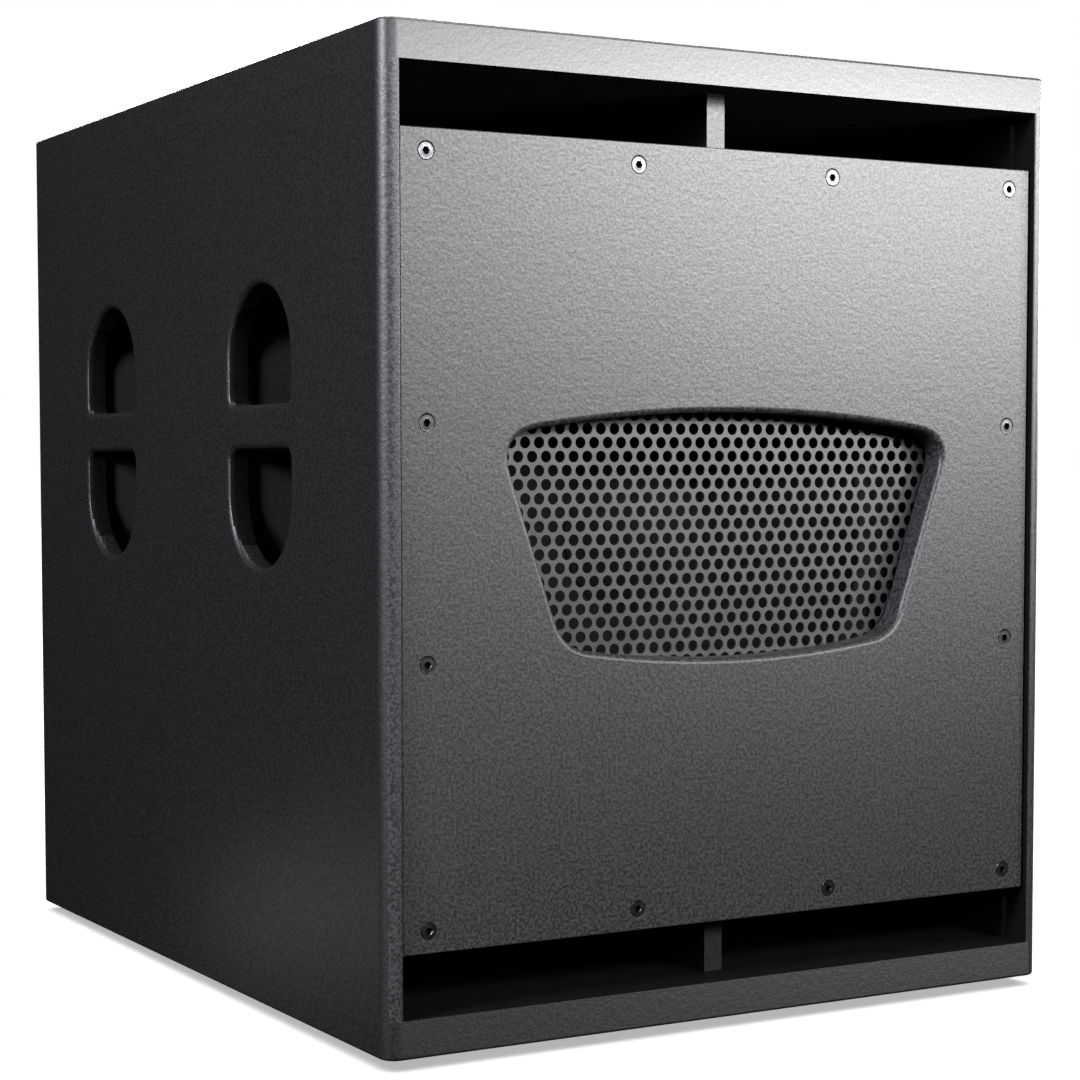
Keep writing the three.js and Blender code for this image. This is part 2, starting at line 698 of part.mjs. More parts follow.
// Four-pole chassis socket: its flange on the dish's floor, its barrel through it.
function inputSocket(name, x) {
  const { width, height, thickness, corner } = SOCKET_FLANGE;
  const flange = frontPlate(roundedRectangle(width, height, corner, 2), thickness);
  const barrel = bar(SOCKET_RADIUS, -SOCKET_BARREL, 1, 0, 0, 20);
  const bore = bar(SOCKET_BORE.radius, -SOCKET_BORE.depth, thickness + 1, 0, 0, 20);
  const postRoot = -SOCKET_BORE.depth - 1;
  const post = bar(SOCKET_POST.radius, postRoot, postRoot + 1 + SOCKET_POST.length, 0, 0, 10);
  const body = unite([subtract(unite([flange, barrel]), [bore]), post]);
  return piece(name, body, "plastic", x, fromFront(DISH_FLOOR), DISH_HEIGHT);
}

function sockets() {
  const x = SOCKET_SPACING / 2;
  return [inputSocket("input_socket_1", -x), inputSocket("input_socket_2", x)];
}

// A lead from the first socket's rear to a terminal post on the driver.
function lead(name, finish, hand) {
  const socketX = -SOCKET_SPACING / 2 + (hand * LEAD_SPACING) / 2;
  const postX = hand * TERMINAL.x;
  const terminalHeight = DRIVER_HEIGHT + TERMINAL.z;
  const barrelEnd = DISH_FLOOR - SOCKET_BARREL;
  const route = [
    [socketX, barrelEnd - GAP, DISH_HEIGHT],
    [socketX, barrelEnd - 26, DISH_HEIGHT - 1],
    [socketX / 2 + postX / 2, 500, DISH_HEIGHT - 28],
    [postX, 400, terminalHeight - 16],
    [postX, 290, terminalHeight - 8],
    [postX, TERMINAL.postTo + 30, terminalHeight],
    [postX, TERMINAL.postTo + GAP, terminalHeight],
  ];
  const path = new THREE.CatmullRomCurve3(
    route.map(([x, depth, z]) => new THREE.Vector3(x, fromFront(depth), z)),
  );
  const section = new THREE.Shape(arc(0, 0, LEAD_RADIUS, 0, 315, 7));
  const geometry = new THREE.ExtrudeGeometry(section, { steps: 28, bevelEnabled: false, extrudePath: path });
  return piece(name, geometry, finish);
}

// ---- Brace and feet ----
function crossBrace() {
  const board = box(INSIDE_WIDTH - 2 * GAP, BOARD, BRACE.height);
  return piece("cross_brace", board, "wood", 0, fromFront(BRACE.depth), HEIGHT / 2);
}

// Low rubber feet with a recess for their fixing screw.
function feet() {
  const recess = 5;
  const top = FOOT_HEIGHT - GAP;
  const profile = [
    [0, 4],
    [recess, 4],
    [recess, 0],
    [FOOT_RADIUS - 2, 0],
    [FOOT_RADIUS, 2],
    [FOOT_RADIUS, top],
    [0, top],
  ];
  const places = [
    ["front_left", -1, -1],
    ["front_right", 1, -1],
    ["rear_left", -1, 1],
    ["rear_right", 1, 1],
  ];
  return places.map(([name, handX, handY]) => {
    const foot = turnedSolid(profile, 20).rotateX(Math.PI / 2);
    return piece("foot_" + name, foot, "rubber", handX * FOOT_PLACES.x, handY * FOOT_PLACES.y, 0);
  });
}

// ---- Assembly ----
function cabinet() {
  const group = new THREE.Group();
  group.position.z = FOOT_HEIGHT;
  group.add(lidBoard("bottom_panel", 0), lidBoard("top_panel", HEIGHT - LID_THICKNESS));
  group.add(side("left"), side("right"), backPanel(), frontPanel(), ...panelScrews());
  group.add(frontFrame(), grille(), grilleGasket(), slotPort("lower", -1), slotPort("upper", 1));
  group.add(driver(), crossBrace(), connectorDish(), ...sockets());
  group.add(lead("lead_positive", "redLead", 1), lead("lead_negative", "blackLead", -1));
  return group;
}

const subwoofer = new THREE.Group();
subwoofer.add(cabinet(), ...feet());

export default subwoofer;
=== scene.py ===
"""Looks of the subwoofer cabinet: rounded textured boards, a perforated grille, the driver behind it,
hand-holes, slot ports, a rear connector dish and feet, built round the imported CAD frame."""

import math

import bmesh
import bpy
from mathutils import Matrix, Vector
from mathutils.geometry import delaunay_2d_cdt
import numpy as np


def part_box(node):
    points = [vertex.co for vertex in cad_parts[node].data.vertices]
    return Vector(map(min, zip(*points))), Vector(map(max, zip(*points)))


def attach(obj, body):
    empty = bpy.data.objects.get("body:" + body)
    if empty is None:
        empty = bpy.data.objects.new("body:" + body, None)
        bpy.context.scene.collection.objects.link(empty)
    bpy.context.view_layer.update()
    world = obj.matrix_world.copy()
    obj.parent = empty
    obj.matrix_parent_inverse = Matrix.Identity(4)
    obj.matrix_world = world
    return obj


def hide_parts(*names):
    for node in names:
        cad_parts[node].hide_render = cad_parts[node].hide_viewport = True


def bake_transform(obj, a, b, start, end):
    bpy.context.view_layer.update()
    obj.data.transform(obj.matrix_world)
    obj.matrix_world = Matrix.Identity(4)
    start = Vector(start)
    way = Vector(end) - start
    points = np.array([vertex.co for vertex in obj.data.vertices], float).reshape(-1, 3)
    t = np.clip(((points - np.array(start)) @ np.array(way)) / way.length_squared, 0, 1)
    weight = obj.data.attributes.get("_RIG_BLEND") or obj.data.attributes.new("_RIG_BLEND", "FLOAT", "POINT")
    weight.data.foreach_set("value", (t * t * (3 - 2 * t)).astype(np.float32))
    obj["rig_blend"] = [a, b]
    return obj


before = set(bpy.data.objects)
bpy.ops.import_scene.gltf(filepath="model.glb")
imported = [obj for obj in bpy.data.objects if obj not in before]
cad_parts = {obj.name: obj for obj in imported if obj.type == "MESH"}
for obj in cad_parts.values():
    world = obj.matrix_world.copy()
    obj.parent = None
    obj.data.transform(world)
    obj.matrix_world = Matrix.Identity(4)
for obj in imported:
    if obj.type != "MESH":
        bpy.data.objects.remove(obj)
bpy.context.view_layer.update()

MM = 0.001
SHELL = "cabinet"
MOVING = "moving_assembly"
HANDS = (("left", -1), ("right", 1))

# ---- Places taken from the frame ----
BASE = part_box("bottom_panel")[0].z
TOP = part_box("top_panel")[1].z
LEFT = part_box("side_panel_left")[0].x
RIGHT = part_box("side_panel_right")[1].x
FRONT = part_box("top_panel")[0].y
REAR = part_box("top_panel")[1].y
MIDDLE = (BASE + TOP) / 2
WIDTH = RIGHT - LEFT
DEPTH = REAR - FRONT

# ---- The box ----
CORNER_RADIUS = 12 * MM  # upright outer edges
CORNER_STEPS = 10
LID_EDGE = 2.2 * MM  # rounding of the top and bottom boards' outer edges
LIP = 13.4 * MM
SIDE_THICKNESS = 18 * MM
LIP_EDGE = 1.6 * MM

# ---- Hand-holes ----
HOLE_WIDTH = 108 * MM
HOLE_HEIGHT = 88.5 * MM
GRIP_BAR = 33 * MM
HOLE_CORNER = 9 * MM
HOLE_EDGE = 5 * MM

# ---- Front panel and its window ----
PANEL_EDGE = 1.2 * MM
WINDOW_EDGE = 4.5 * MM
WINDOW_TOP_HALF = 198 * MM
WINDOW_BOTTOM_HALF = 146.5 * MM
WINDOW_TOP = 74 * MM
WINDOW_BOTTOM = -74.5 * MM
WINDOW_TOP_CROWN = 17 * MM
WINDOW_BOTTOM_CROWN = 12.5 * MM
WINDOW_TOP_TRIM = 30 * MM
WINDOW_BOTTOM_TRIM = 20 * MM
WINDOW_STEPS = 20
GRILLE_MARGIN = 20 * MM
GRILLE_SOLID_EDGE = 8 * MM  # unpunched band round the grille's rim
PUNCH_PITCH = 11.4 * MM
PUNCH_RADIUS = 4.25 * MM
PUNCH_SIDES = 16
PUNCH_ROWS, PUNCH_COLUMNS = 14, 20  # on each side of the middle

# ---- Screws: (radius, depth) pairs in millimetres, from the middle of the socket to the shank ----
SCREW_COUNT = 12
SCREW_SIDES = 24
ROUND_SIDES = 48
SOCKET_REACH = 2.4 * MM  # faces nearer the screw's axis are inside its socket
PANEL_SCREW = {
    "socket": [(0.4, 4.4), (2.3, 3.6), (2.3, 0.3), (2.55, 0.0)],
    "outside": [(5.2, 0.15), (5.8, 0.05), (6.1, 0.3), (6.1, 0.6), (2.9, 3.8), (2.9, 24)],
}
DRIVER_BOLT = {
    "socket": [(0.5, 2.8), (2.4, 2.5), (2.4, 0.3), (2.6, 0.1)],
    "outside": [(4.2, 0.1), (4.7, 0.0), (5.0, 0.3), (5.0, 3.9), (5.0, 4.3), (2.5, 4.4), (2.5, 39)],
}
SINK = [(0, 6.9), (0.15, 6.55), (0.7, 6.4), (4.1, 3.4), (18, 3.4)]  # (depth, radius) of a screw hole
SINK_SIDES = 32

# Cross-recessed screws: (radius, rise) pairs in millimetres, up the outside and down the recess.
PAN_SCREW = {
    "outside": [(1.5, -2.0), (1.5, 0.0), (3.1, 0.0), (3.1, 0.5), (2.9, 1.0), (2.3, 1.45)],
    "recess": [(1.7, 1.6), (1.5, 0.6)],
}
FOOT_SCREW = {
    "outside": [(4.5, 3.9), (4.5, 3.1), (4.3, 2.9), (3.6, 2.9), (3.5, 2.2), (2.9, 1.6), (2.2, 1.35)],
    "recess": [(1.7, 1.3), (1.5, 2.3)],
}

# ---- Grips and rear connector dish, in millimetres ----
CUP = {"depth": 60, "wall": 4, "flange": 6, "flange_depth": 3, "corner": 24, "fillet": 14, "draft": 2}
DISH_FLANGE = {"corner": 8, "edge": 1.2, "margin": 12}
DISH_TUB = {"wall": 3, "floor": 36.7, "corner": 9, "fillet": 4, "draft": 1.5, "mouth": 1.5}
DISH_SCREW_INSET = 6
SOCKET_HOLE = 12.1
SOCKET = {"collar": 11.6, "bore": 9.8, "core": 4.6, "flange": 2.5, "flange_corner": 4, "rise": 1.6}
SOCKET.update({"core_top": 1.8, "floor": 17.5, "barrel_end": 22, "sides": 72})

# ---- Driver: radii and depths behind the front edges, in millimetres ----
DRIVER_SIDES = 96
BOLT_COUNT = 8
SPOKE_COUNT = 6
SPOKE_PATH = [(203, 90, 52), (192, 108, 40), (170, 127, 34), (146, 145, 32), (122, 160, 36), (106, 168, 46)]
CONE_RIM = (178, 74)
CONE_NECK = (52.3, 146)
CONE_STEPS = 60
RIBS, RIB_HEIGHT, RIB_WIDTH = (96, 132), 0.55, 1.6
CAP = {"radius": 64.0, "rise": 21.5, "thickness": 1.0, "steps": 18}
SURROUND = {"end": (200.0, 67.8), "rolls": 3, "height": 4.6, "thickness": 0.9, "steps": 42}
SPIDER = {"inner": 52.6, "outer": 97, "flat": 88, "depth": 158.0, "height": 0.9, "pitch": 5.6}
SPIDER.update({"thickness": 0.6, "steps": 72, "sides": 72})

# The motor behind the cone, in millimetres behind the front.
TOP_PLATE = {"outer": 105, "inner": 53, "front": 178, "back": 188}
MAGNET = {"outer": 110, "inner": 60, "front": 188.3, "back": 210.3}
VOICE_COIL = {"outer": 51.6, "inner": 50.2, "front": 144, "back": 196}
POLE = {"radius": 49, "vent": 15, "front": 177, "back": 220.6}
POLE_PLATE = {"outer": 105, "front": 210.6}
MOTOR_EDGE = 1.2

# ---- Camera and lamps ----
CAMERA = {"place": (-1.0175, -1.7607, 0.4111), "angles": (28.182, 3.296, -0.214)}  # yaw, pitch, roll
CAMERA.update({"lens": 79.33, "shift": (0.1094, 0.0582)})
NEUTRAL = (1.0, 0.985, 1.0)
COOL = (0.90, 0.93, 1.0)
STRIP = (0.8, 0.08)  # metres


def from_front(depth):
    """Y of a place given as millimetres behind the front edges."""
    return FRONT + depth * MM


def middle_of(node):
    """The middle of a CAD node's box."""
    low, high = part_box(node)
    return [(a + b) / 2 for a, b in zip(low, high)]


def size_of(node):
    """The size of a CAD node's box, in millimetres."""
    low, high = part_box(node)
    return [(b - a) / MM for a, b in zip(low, high)]


# -------- mesh helpers


def make_object(name, mesh_builder):
    mesh = bpy.data.meshes.new(name)
    mesh_builder.normal_update()
    mesh_builder.to_mesh(mesh)
    mesh_builder.free()
    made = bpy.data.objects.new(name, mesh)
    bpy.context.scene.collection.objects.link(made)
    return made


def shade(made, angle):
    """Smooth shading that keeps edges sharper than the angle crisp and flat faces flat."""
    mesh = made.data
    for polygon in mesh.polygons:
        polygon.use_smooth = True
    builder = bmesh.new()
    builder.from_mesh(mesh)
    limit = math.radians(angle)
    for edge in builder.edges:
        edge.smooth = len(edge.link_faces) == 2 and edge.calc_face_angle(0.0) < limit
    builder.to_mesh(mesh)
    builder.free()
    weighted = made.modifiers.new("even_normals", "WEIGHTED_NORMAL")
    weighted.keep_sharp = True
    return made


def finished(name, builder, angle=32, distance=1e-6):
    """Closes a builder's seams and makes it a shaded piece."""
    bmesh.ops.remove_doubles(builder, verts=builder.verts, dist=distance)
    bmesh.ops.dissolve_degenerate(builder, edges=builder.edges, dist=distance)
    bmesh.ops.recalc_face_normals(builder, faces=builder.faces)
    return shade(make_object(name, builder), angle)


def add_loop(builder, points):
    return [builder.verts.new(point) for point in points]


def bridge(builder, first, second):
    """Quads between two closed loops of the same count."""
    count = len(first)
    for i in range(count):
        j = (i + 1) % count
        builder.faces.new((first[i], first[j], second[j], second[i]))


def add_rings(builder, rings):
    loops = [add_loop(builder, ring) for ring in rings]
    for first, second in zip(loops, loops[1:]):
        bridge(builder, first, second)
    return loops


def skin(builder, rings):
    """Quads over rings of points, with the first and the last ring filled."""
    loops = add_rings(builder, rings)
    builder.faces.new(loops[0])
    builder.faces.new(loops[-1])


def skinned(name, rings, angle=32):
    """A piece closed over rings of points."""
    builder = bmesh.new()
    skin(builder, rings)
    return finished(name, builder, angle)


def wall(builder, place, levels):
    """A wall through (depth, outline) pairs, put in space by place(depth)(u, v)."""
    add_rings(builder, [[place(depth)(u, v) for u, v in outline] for depth, outline in levels])


def graph(outlines):
    """The points and edges of closed outlines, as the triangulation takes them."""
    points, edges = [], []
    for outline in outlines:
        start, count = len(points), len(outline)
        points += [Vector(point) for point in outline]
        edges += [(start + i, start + (i + 1) % count) for i in range(count)]
    return points, edges


def fill(builder, outlines, place):
    """A flat sheet inside the first outline and outside the others, put in space by place(u, v)."""
    corners, _, faces, _, _, _ = delaunay_2d_cdt(*graph(outlines), [], 0, 1e-9)
    verts = [builder.verts.new(place(*corner)) for corner in corners]
    for face in faces:
        centre = sum((corners[i] for i in face), Vector((0, 0))) / len(face)
        if all(inside(centre, outline) == (i == 0) for i, outline in enumerate(outlines)):
            builder.faces.new([verts[i] for i in face])


def inside(point, outline):
    """Whether a point of the plane is inside a closed outline, by counting crossings."""
    result = False
    x, y = point
    for (ax, ay), (bx, by) in zip(outline, outline[1:] + outline[:1]):
        if (ay > y) != (by > y) and x < (bx - ax) * (y - ay) / (by - ay) + ax:
            result = not result
    return result


def arc(x, y, radius, start, end, steps):
    angles = [math.radians(start + (end - start) * i / steps) for i in range(steps + 1)]
    return [(x + radius * math.cos(a), y + radius * math.sin(a)) for a in angles]


def circle(x, y, radius, sides, turn=0.0):
    angles = [2 * math.pi * (i + turn) / sides for i in range(sides)]
    return [(x + radius * math.cos(a), y + radius * math.sin(a)) for a in angles]


def polar(x, y, sides, reach):
    """A closed outline about (x, y), from its radius at each angle."""
    angles = [2 * math.pi * i / sides for i in range(sides)]
    return [(x + reach(a) * math.cos(a), y + reach(a) * math.sin(a)) for a in angles]


def rounded_rectangle(width, height, radius, steps):
    u, v = width / 2 - radius, height / 2 - radius
    outline = arc(u, v, radius, 0, 90, steps) + arc(-u, v, radius, 90, 180, steps)
    return outline + arc(-u, -v, radius, 180, 270, steps) + arc(u, -v, radius, 270, 360, steps)


def grown(outline, distance):
    """A closed anticlockwise outline moved outwards by a distance."""
    result = []
    count = len(outline)
    for i in range(count):
        before, here, after = (Vector(outline[(i + k) % count]) for k in (-1, 0, 1))
        first = (here - before).normalized()
        second = (after - here).normalized()
        normal = Vector((first.y + second.y, -first.x - second.x)).normalized()
        stretch = max(0.5, normal.dot(Vector((first.y, -first.x))))
        result.append(tuple(here + normal * distance / stretch))
    return result


def rounding(radius, steps):
    """(depth, growth) pairs of a rounded hole edge, from the face inwards."""
    angles = [math.pi / 2 * (1 - i / steps) for i in range(steps + 1)]
    return [(radius * (1 - math.sin(a)), radius * (1 - math.cos(a))) for a in angles]


def turn(builder, profile, sides=DRIVER_SIDES):
    """A skin turned about the driver's axis, from (radius, depth) pairs in millimetres."""
    rings = []
    for radius, depth in profile:
        outline = circle(0, MIDDLE, radius * MM, sides) if radius else [(0, MIDDLE)]
        rings.append(add_loop(builder, [(x, from_front(depth), z) for x, z in outline]))
    for first, second in zip(rings, rings[1:] + rings[:1]):
        join_rings(builder, first, second)


def lathe(name, profile, angle=32, sides=DRIVER_SIDES):
    builder = bmesh.new()
    turn(builder, profile, sides)
    return finished(name, builder, angle)


def sheet(name, front, thickness, angle, sides=DRIVER_SIDES):
    """A thin turned piece, from the profile of its front."""
    back = [(radius, depth + thickness) for radius, depth in front]
    return lathe(name, front + back[::-1], angle, sides)


def join_rings(builder, first, second):
    """Quads between two rings, or triangles where one is a tip; two tips are left alone."""
    if len(first) != len(second):
        tip, ring = (first[0], second) if len(first) == 1 else (second[0], first)
        for i in range(len(ring)):
            builder.faces.new((tip, ring[i], ring[(i + 1) % len(ring)]))
    elif len(first) > 1:
        bridge(builder, first, second)


def stands_for(made, body, slot, material, *nodes):
    """Finishes a piece: its material, its body and the CAD nodes that it replaces. The slot is not used."""
    made.data.materials.clear()
    made.data.materials.append(material)
    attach(made, body)
    if nodes:
        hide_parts(*nodes)
    return made


# -------- the box


def lid_board(name, node, upwards):
    """Top or bottom board: rounded upright corners and one rounded outer edge."""
    low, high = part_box(node)
    outer, inner = (high.z, low.z) if upwards else (low.z, high.z)
    step = 1 if upwards else -1
    levels = [(inner, 0.0)]
    levels += [(outer - step * depth, growth) for depth, growth in reversed(rounding(LID_EDGE, 5))]
    rings = []
    for z, inset in levels:
        size = (WIDTH - 2 * inset, DEPTH - 2 * inset)
        outline = rounded_rectangle(*size, CORNER_RADIUS - inset, CORNER_STEPS)
        rings.append([(x, y, z) for x, y in outline])
    return skinned(name, rings)


def hand_hole_outline():
    """A hand-hole about the middle of its flat edge, anticlockwise."""
    half = HOLE_WIDTH / 2
    outline = arc(half - HOLE_CORNER, HOLE_CORNER, HOLE_CORNER, -90, 0, 5)
    outline += arc(0, HOLE_HEIGHT - half, half, 0, 180, 28)
    return outline + arc(-half + HOLE_CORNER, HOLE_CORNER, HOLE_CORNER, 180, 270, 5)


def hand_holes():
    """Outlines (y, z) of the four hand-holes of a side, anticlockwise."""
    outlines = []
    for place in ("front", "rear"):
        _, y, z = middle_of("handle_cup_" + place + "_left")
        for hand in (1, -1):
            shift = z + hand * GRIP_BAR / 2
            outlines.append([(y + hand * u, shift + hand * v) for u, v in hand_hole_outline()])
    return outlines


def side_board(name, hand):
    """A side board: rounded uprights, a front rebate and hand-holes with rounded rims."""
    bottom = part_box("bottom_panel")[1].z
    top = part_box("top_panel")[0].z
    outer = hand * WIDTH / 2
    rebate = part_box("front_frame")[0].y
    radius = CORNER_RADIUS
    section = [(y, x) for x, y in arc(radius, FRONT + radius, radius, 180, 270, CORNER_STEPS)]
    section += [(y, x) for x, y in arc(LIP - LIP_EDGE, FRONT + LIP_EDGE, LIP_EDGE, -90, 0, 4)]
    section += [(rebate, LIP), (rebate, SIDE_THICKNESS), (REAR, SIDE_THICKNESS)]
    section += [(y, x) for x, y in arc(radius, REAR - radius, radius, 90, 180, CORNER_STEPS)]
    builder = bmesh.new()

    def place(depth):
        return lambda y, z: (outer - hand * depth, y, z)

    for first, second in zip(section, section[1:]):
        if first[1] == SIDE_THICKNESS and second[1] == SIDE_THICKNESS:
            continue
        corners = [(first, bottom), (second, bottom), (second, top), (first, top)]
        builder.faces.new([builder.verts.new(place(x)(y, z)) for (y, x), z in corners])
    for z in (bottom, top):
        builder.faces.new([builder.verts.new(place(x)(y, z)) for y, x in section])
    holes = hand_holes()
    levels = rounding(HOLE_EDGE, 6)
    levels += [(SIDE_THICKNESS - depth, growth) for depth, growth in reversed(rounding(HOLE_EDGE / 2, 3))]
    for hole in holes:
        wall(builder, place, [(depth, grown(hole, growth)) for depth, growth in levels])
    flats = [
        (0.0, FRONT + radius, REAR - radius, HOLE_EDGE),
        (SIDE_THICKNESS, rebate, REAR, HOLE_EDGE / 2),
    ]
    for depth, start, end, growth in flats:
        flat = [(start, bottom), (end, bottom), (end, top), (start, top)]
        fill(builder, [flat] + [grown(hole, growth) for hole in holes], place(depth))
    return finished(name, builder)


# -------- the front


def bezier(start, control, end, steps):
    points = []
    for i in range(steps + 1):
        t = i / steps
        ends = Vector(start) * (1 - t) ** 2 + Vector(end) * t**2
        points.append(tuple(ends + Vector(control) * 2 * t * (1 - t)))
    return points


def window_outline(margin):
    """The window's outline about the panel's middle, grown outwards by a margin, anticlockwise."""
    top_half, bottom_half = WINDOW_TOP_HALF + margin, WINDOW_BOTTOM_HALF + margin
    top, bottom = WINDOW_TOP + margin, WINDOW_BOTTOM - margin
    lean = Vector((top_half - bottom_half, top - bottom)).normalized()
    top_flat, bottom_flat = top_half - WINDOW_TOP_TRIM, bottom_half - WINDOW_BOTTOM_TRIM

    def top_arch(x):
        return x, top + WINDOW_TOP_CROWN * (1 - (x / top_half) ** 2)

    def bottom_arch(x):
        return x, bottom - WINDOW_BOTTOM_CROWN * (1 - (x / bottom_half) ** 2)

    side_top = Vector((top_half, top)) - lean * WINDOW_TOP_TRIM
    side_bottom = Vector((bottom_half, bottom)) + lean * WINDOW_BOTTOM_TRIM
    spread = [i / WINDOW_STEPS for i in range(WINDOW_STEPS + 1)]
    right = bezier(bottom_arch(bottom_flat), (bottom_half, bottom), side_bottom, 8)
    right += bezier(side_top, (top_half, top), top_arch(top_flat), 8)
    left = [(-x, y) for x, y in reversed(right)]
    outline = [bottom_arch(bottom_flat * (2 * t - 1)) for t in spread] + right
    outline += [top_arch(top_flat * (1 - 2 * t)) for t in spread] + left
    kept = []
    for point in outline:
        if not kept or (Vector(point) - Vector(kept[-1])).length > 0.1 * MM:
            kept.append(point)
    if (Vector(kept[0]) - Vector(kept[-1])).length < 0.1 * MM:
        kept.pop()  # the last point would double the first
    return kept


def screw_places():
    """(x, z) about the panel's middle of the CAD's panel screws, in the order of their names."""
    middles = [middle_of(f"panel_screw_{i + 1:02d}") for i in range(SCREW_COUNT)]
    return [(x, z - MIDDLE) for x, _, z in middles]


def panel_place(face):
    """Puts (x, z) about the panel's middle in space, at a depth behind a face."""
    return lambda depth: lambda x, z: (x, face + depth, MIDDLE + z)


def front_panel():
    """Recessed panel: rounded outer and window edges and countersunk screw holes."""
    low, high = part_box("front_panel")
    half_width, half_height = high.x, (high.z - low.z) / 2
    thickness = high.y - low.y
    corners = [(-1, -1), (1, -1), (1, 1), (-1, 1)]
    place = panel_place(low.y)

    def edge(inset):
        return [((half_width - inset) * u, (half_height - inset) * v) for u, v in corners]

    builder = bmesh.new()
    straight = [(thickness, 0.0)]
    wall(builder, place, [(d, edge(g)) for d, g in rounding(PANEL_EDGE, 4) + straight])
    window = window_outline(0)
    wall(builder, place, [(d, grown(window, g)) for d, g in rounding(WINDOW_EDGE, 6) + straight])
    front = [edge(PANEL_EDGE), grown(window, WINDOW_EDGE)]
    back = [edge(0.0), window]
    for x, z in screw_places():
        levels = [(d * MM, circle(x, z, r * MM, SINK_SIDES)) for d, r in SINK]
        wall(builder, place, levels)
        front.append(levels[0][1])
        back.append(levels[-1][1])
    fill(builder, front, place(0.0))
    fill(builder, back, place(thickness))
    return finished("front_board", builder, 40)


def hexagon(x, z, apothem):
    """A hexagon sampled at the same angles as a screw's circles."""

    def reach(angle):
        return apothem / math.cos((angle % (math.pi / 3)) - math.pi / 6)

    return polar(x, z, SCREW_SIDES, reach)


def hexagon_screw(name, x, z, face, shape):
    """A turned screw with a hexagon socket, its depths measured behind a face."""
    levels = [(hexagon(x, z, r * MM), d) for r, d in shape["socket"]]
    levels += [(circle(x, z, r * MM, SCREW_SIDES), d) for r, d in shape["outside"]]
    return skinned(name, [[(u, face + d * MM, v) for u, v in outline] for outline, d in levels], 35)


def darken_socket(made, x, z, material):
    """Gives the inside of a screw's socket its own dark material: painted shade in the socket."""
    made.data.materials.append(material)
    for polygon in made.data.polygons:
        middle = polygon.center
        if math.hypot(middle.x - x, middle.z - MIDDLE - z) < SOCKET_REACH:
            polygon.material_index = 1


def grille():
    """Steel sheet punched with staggered round holes."""
    low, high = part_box("grille")
    thickness = high.y - low.y
    rim = window_outline(GRILLE_MARGIN)
    keep = window_outline(GRILLE_MARGIN - GRILLE_SOLID_EDGE)
    row_pitch = PUNCH_PITCH * math.sqrt(3) / 2
    holes = []
    for row in range(-PUNCH_ROWS, PUNCH_ROWS + 1):
        shift = PUNCH_PITCH / 2 if row % 2 else 0.0
        for column in range(-PUNCH_COLUMNS, PUNCH_COLUMNS + 1):
            x = column * PUNCH_PITCH + shift
            z = row * row_pitch
            if inside((x, z), keep):
                holes.append(circle(x, z, PUNCH_RADIUS, PUNCH_SIDES, 0.5))
    builder = bmesh.new()
    place = panel_place(low.y)
    for depth in (0.0, thickness):
        fill_punched(builder, rim, holes, place(depth))
    for outline in [rim] + holes:
        wall(builder, place, [(depth, outline) for depth in (0.0, thickness)])
    return finished("grille_sheet", builder, 50, 1e-7)


def fill_punched(builder, rim, holes, place):
    """fill() for very many equal holes: a face inside a hole has all its corners on that hole."""
    corners, _, faces, origins, _, _ = delaunay_2d_cdt(*graph([rim] + holes), [], 1, 1e-9)
    verts = [builder.verts.new(place(*corner)) for corner in corners]

    def owner(corner):
        behind_rim = origins[corner][0] - len(rim)
        return behind_rim // PUNCH_SIDES if behind_rim >= 0 else -1 - corner

    for face in faces:
        if len({owner(i) for i in face}) > 1:
            builder.faces.new([verts[i] for i in face])


# -------- driver


def cone_depth(radius):
    """Depth of the cone's front, a shallow curve between its rim and its neck."""
    (rim, rim_depth), (neck, neck_depth) = CONE_RIM, CONE_NECK
    along = (rim - radius) / (rim - neck)
    return rim_depth + (neck_depth - rim_depth) * along


def cone():
    """Paper cone with two raised ribs."""
    (rim, _), (neck, _) = CONE_RIM, CONE_NECK
    front = []
    for i in range(CONE_STEPS + 1):
        radius = neck + (rim - neck) * i / CONE_STEPS
        ribs = [RIB_HEIGHT * math.exp(-(((radius - middle) / RIB_WIDTH) ** 2)) for middle in RIBS]
        front.append((radius, cone_depth(radius) + 0.1 - sum(ribs)))
    return sheet("paper_cone", front, 2.2, 60)


def dust_cap():
    """Domed cap glued on the cone."""
    radius, rise, thickness, steps = CAP["radius"], CAP["rise"], CAP["thickness"], CAP["steps"]
    rim = cone_depth(radius) - 0.3 - thickness
    front = []
    for i in range(steps + 1):
        bow = math.cos(i / steps * math.pi / 2) ** 1.1
        front.append((radius * i / steps, rim - rise * bow))
    return sheet("domed_cap", front, thickness, 60)


def surround():
    """Pleated cloth surround with its glue lips."""
    (start, start_depth), (end, end_depth) = (CONE_RIM[0], CONE_RIM[1] - 1.6), SURROUND["end"]
    front = [(r, cone_depth(r) - gap) for r, gap in ((170.5, 1.3), (174, 1.4))]
    steps = SURROUND["steps"]
    for i in range(steps + 1):
        along = i / steps
        base = start_depth + (end_depth - start_depth) * along
        wave = abs(math.sin(SURROUND["rolls"] * math.pi * along)) ** 0.8
        front.append((start + (end - start) * along, base - SURROUND["height"] * wave))
    front += [(203, end_depth), (205.5, end_depth)]
    return sheet("pleated_surround", front, SURROUND["thickness"], 70)


def spider():
    """Corrugated cloth disc from the coil to the basket's ledge."""
    inner, outer, steps = SPIDER["inner"], SPIDER["outer"], SPIDER["steps"]
    front = []
    for i in range(steps + 1):
        radius = inner + (outer - inner) * i / steps
        fade = min(1.0, max(0.0, (SPIDER["flat"] - radius) / 4))
        wave = 1 - math.cos((radius - inner) / SPIDER["pitch"] * 2 * math.pi)
        front.append((radius, SPIDER["depth"] - SPIDER["height"] * fade * wave))
    return sheet("corrugated_spider", front, SPIDER["thickness"], 70, SPIDER["sides"])


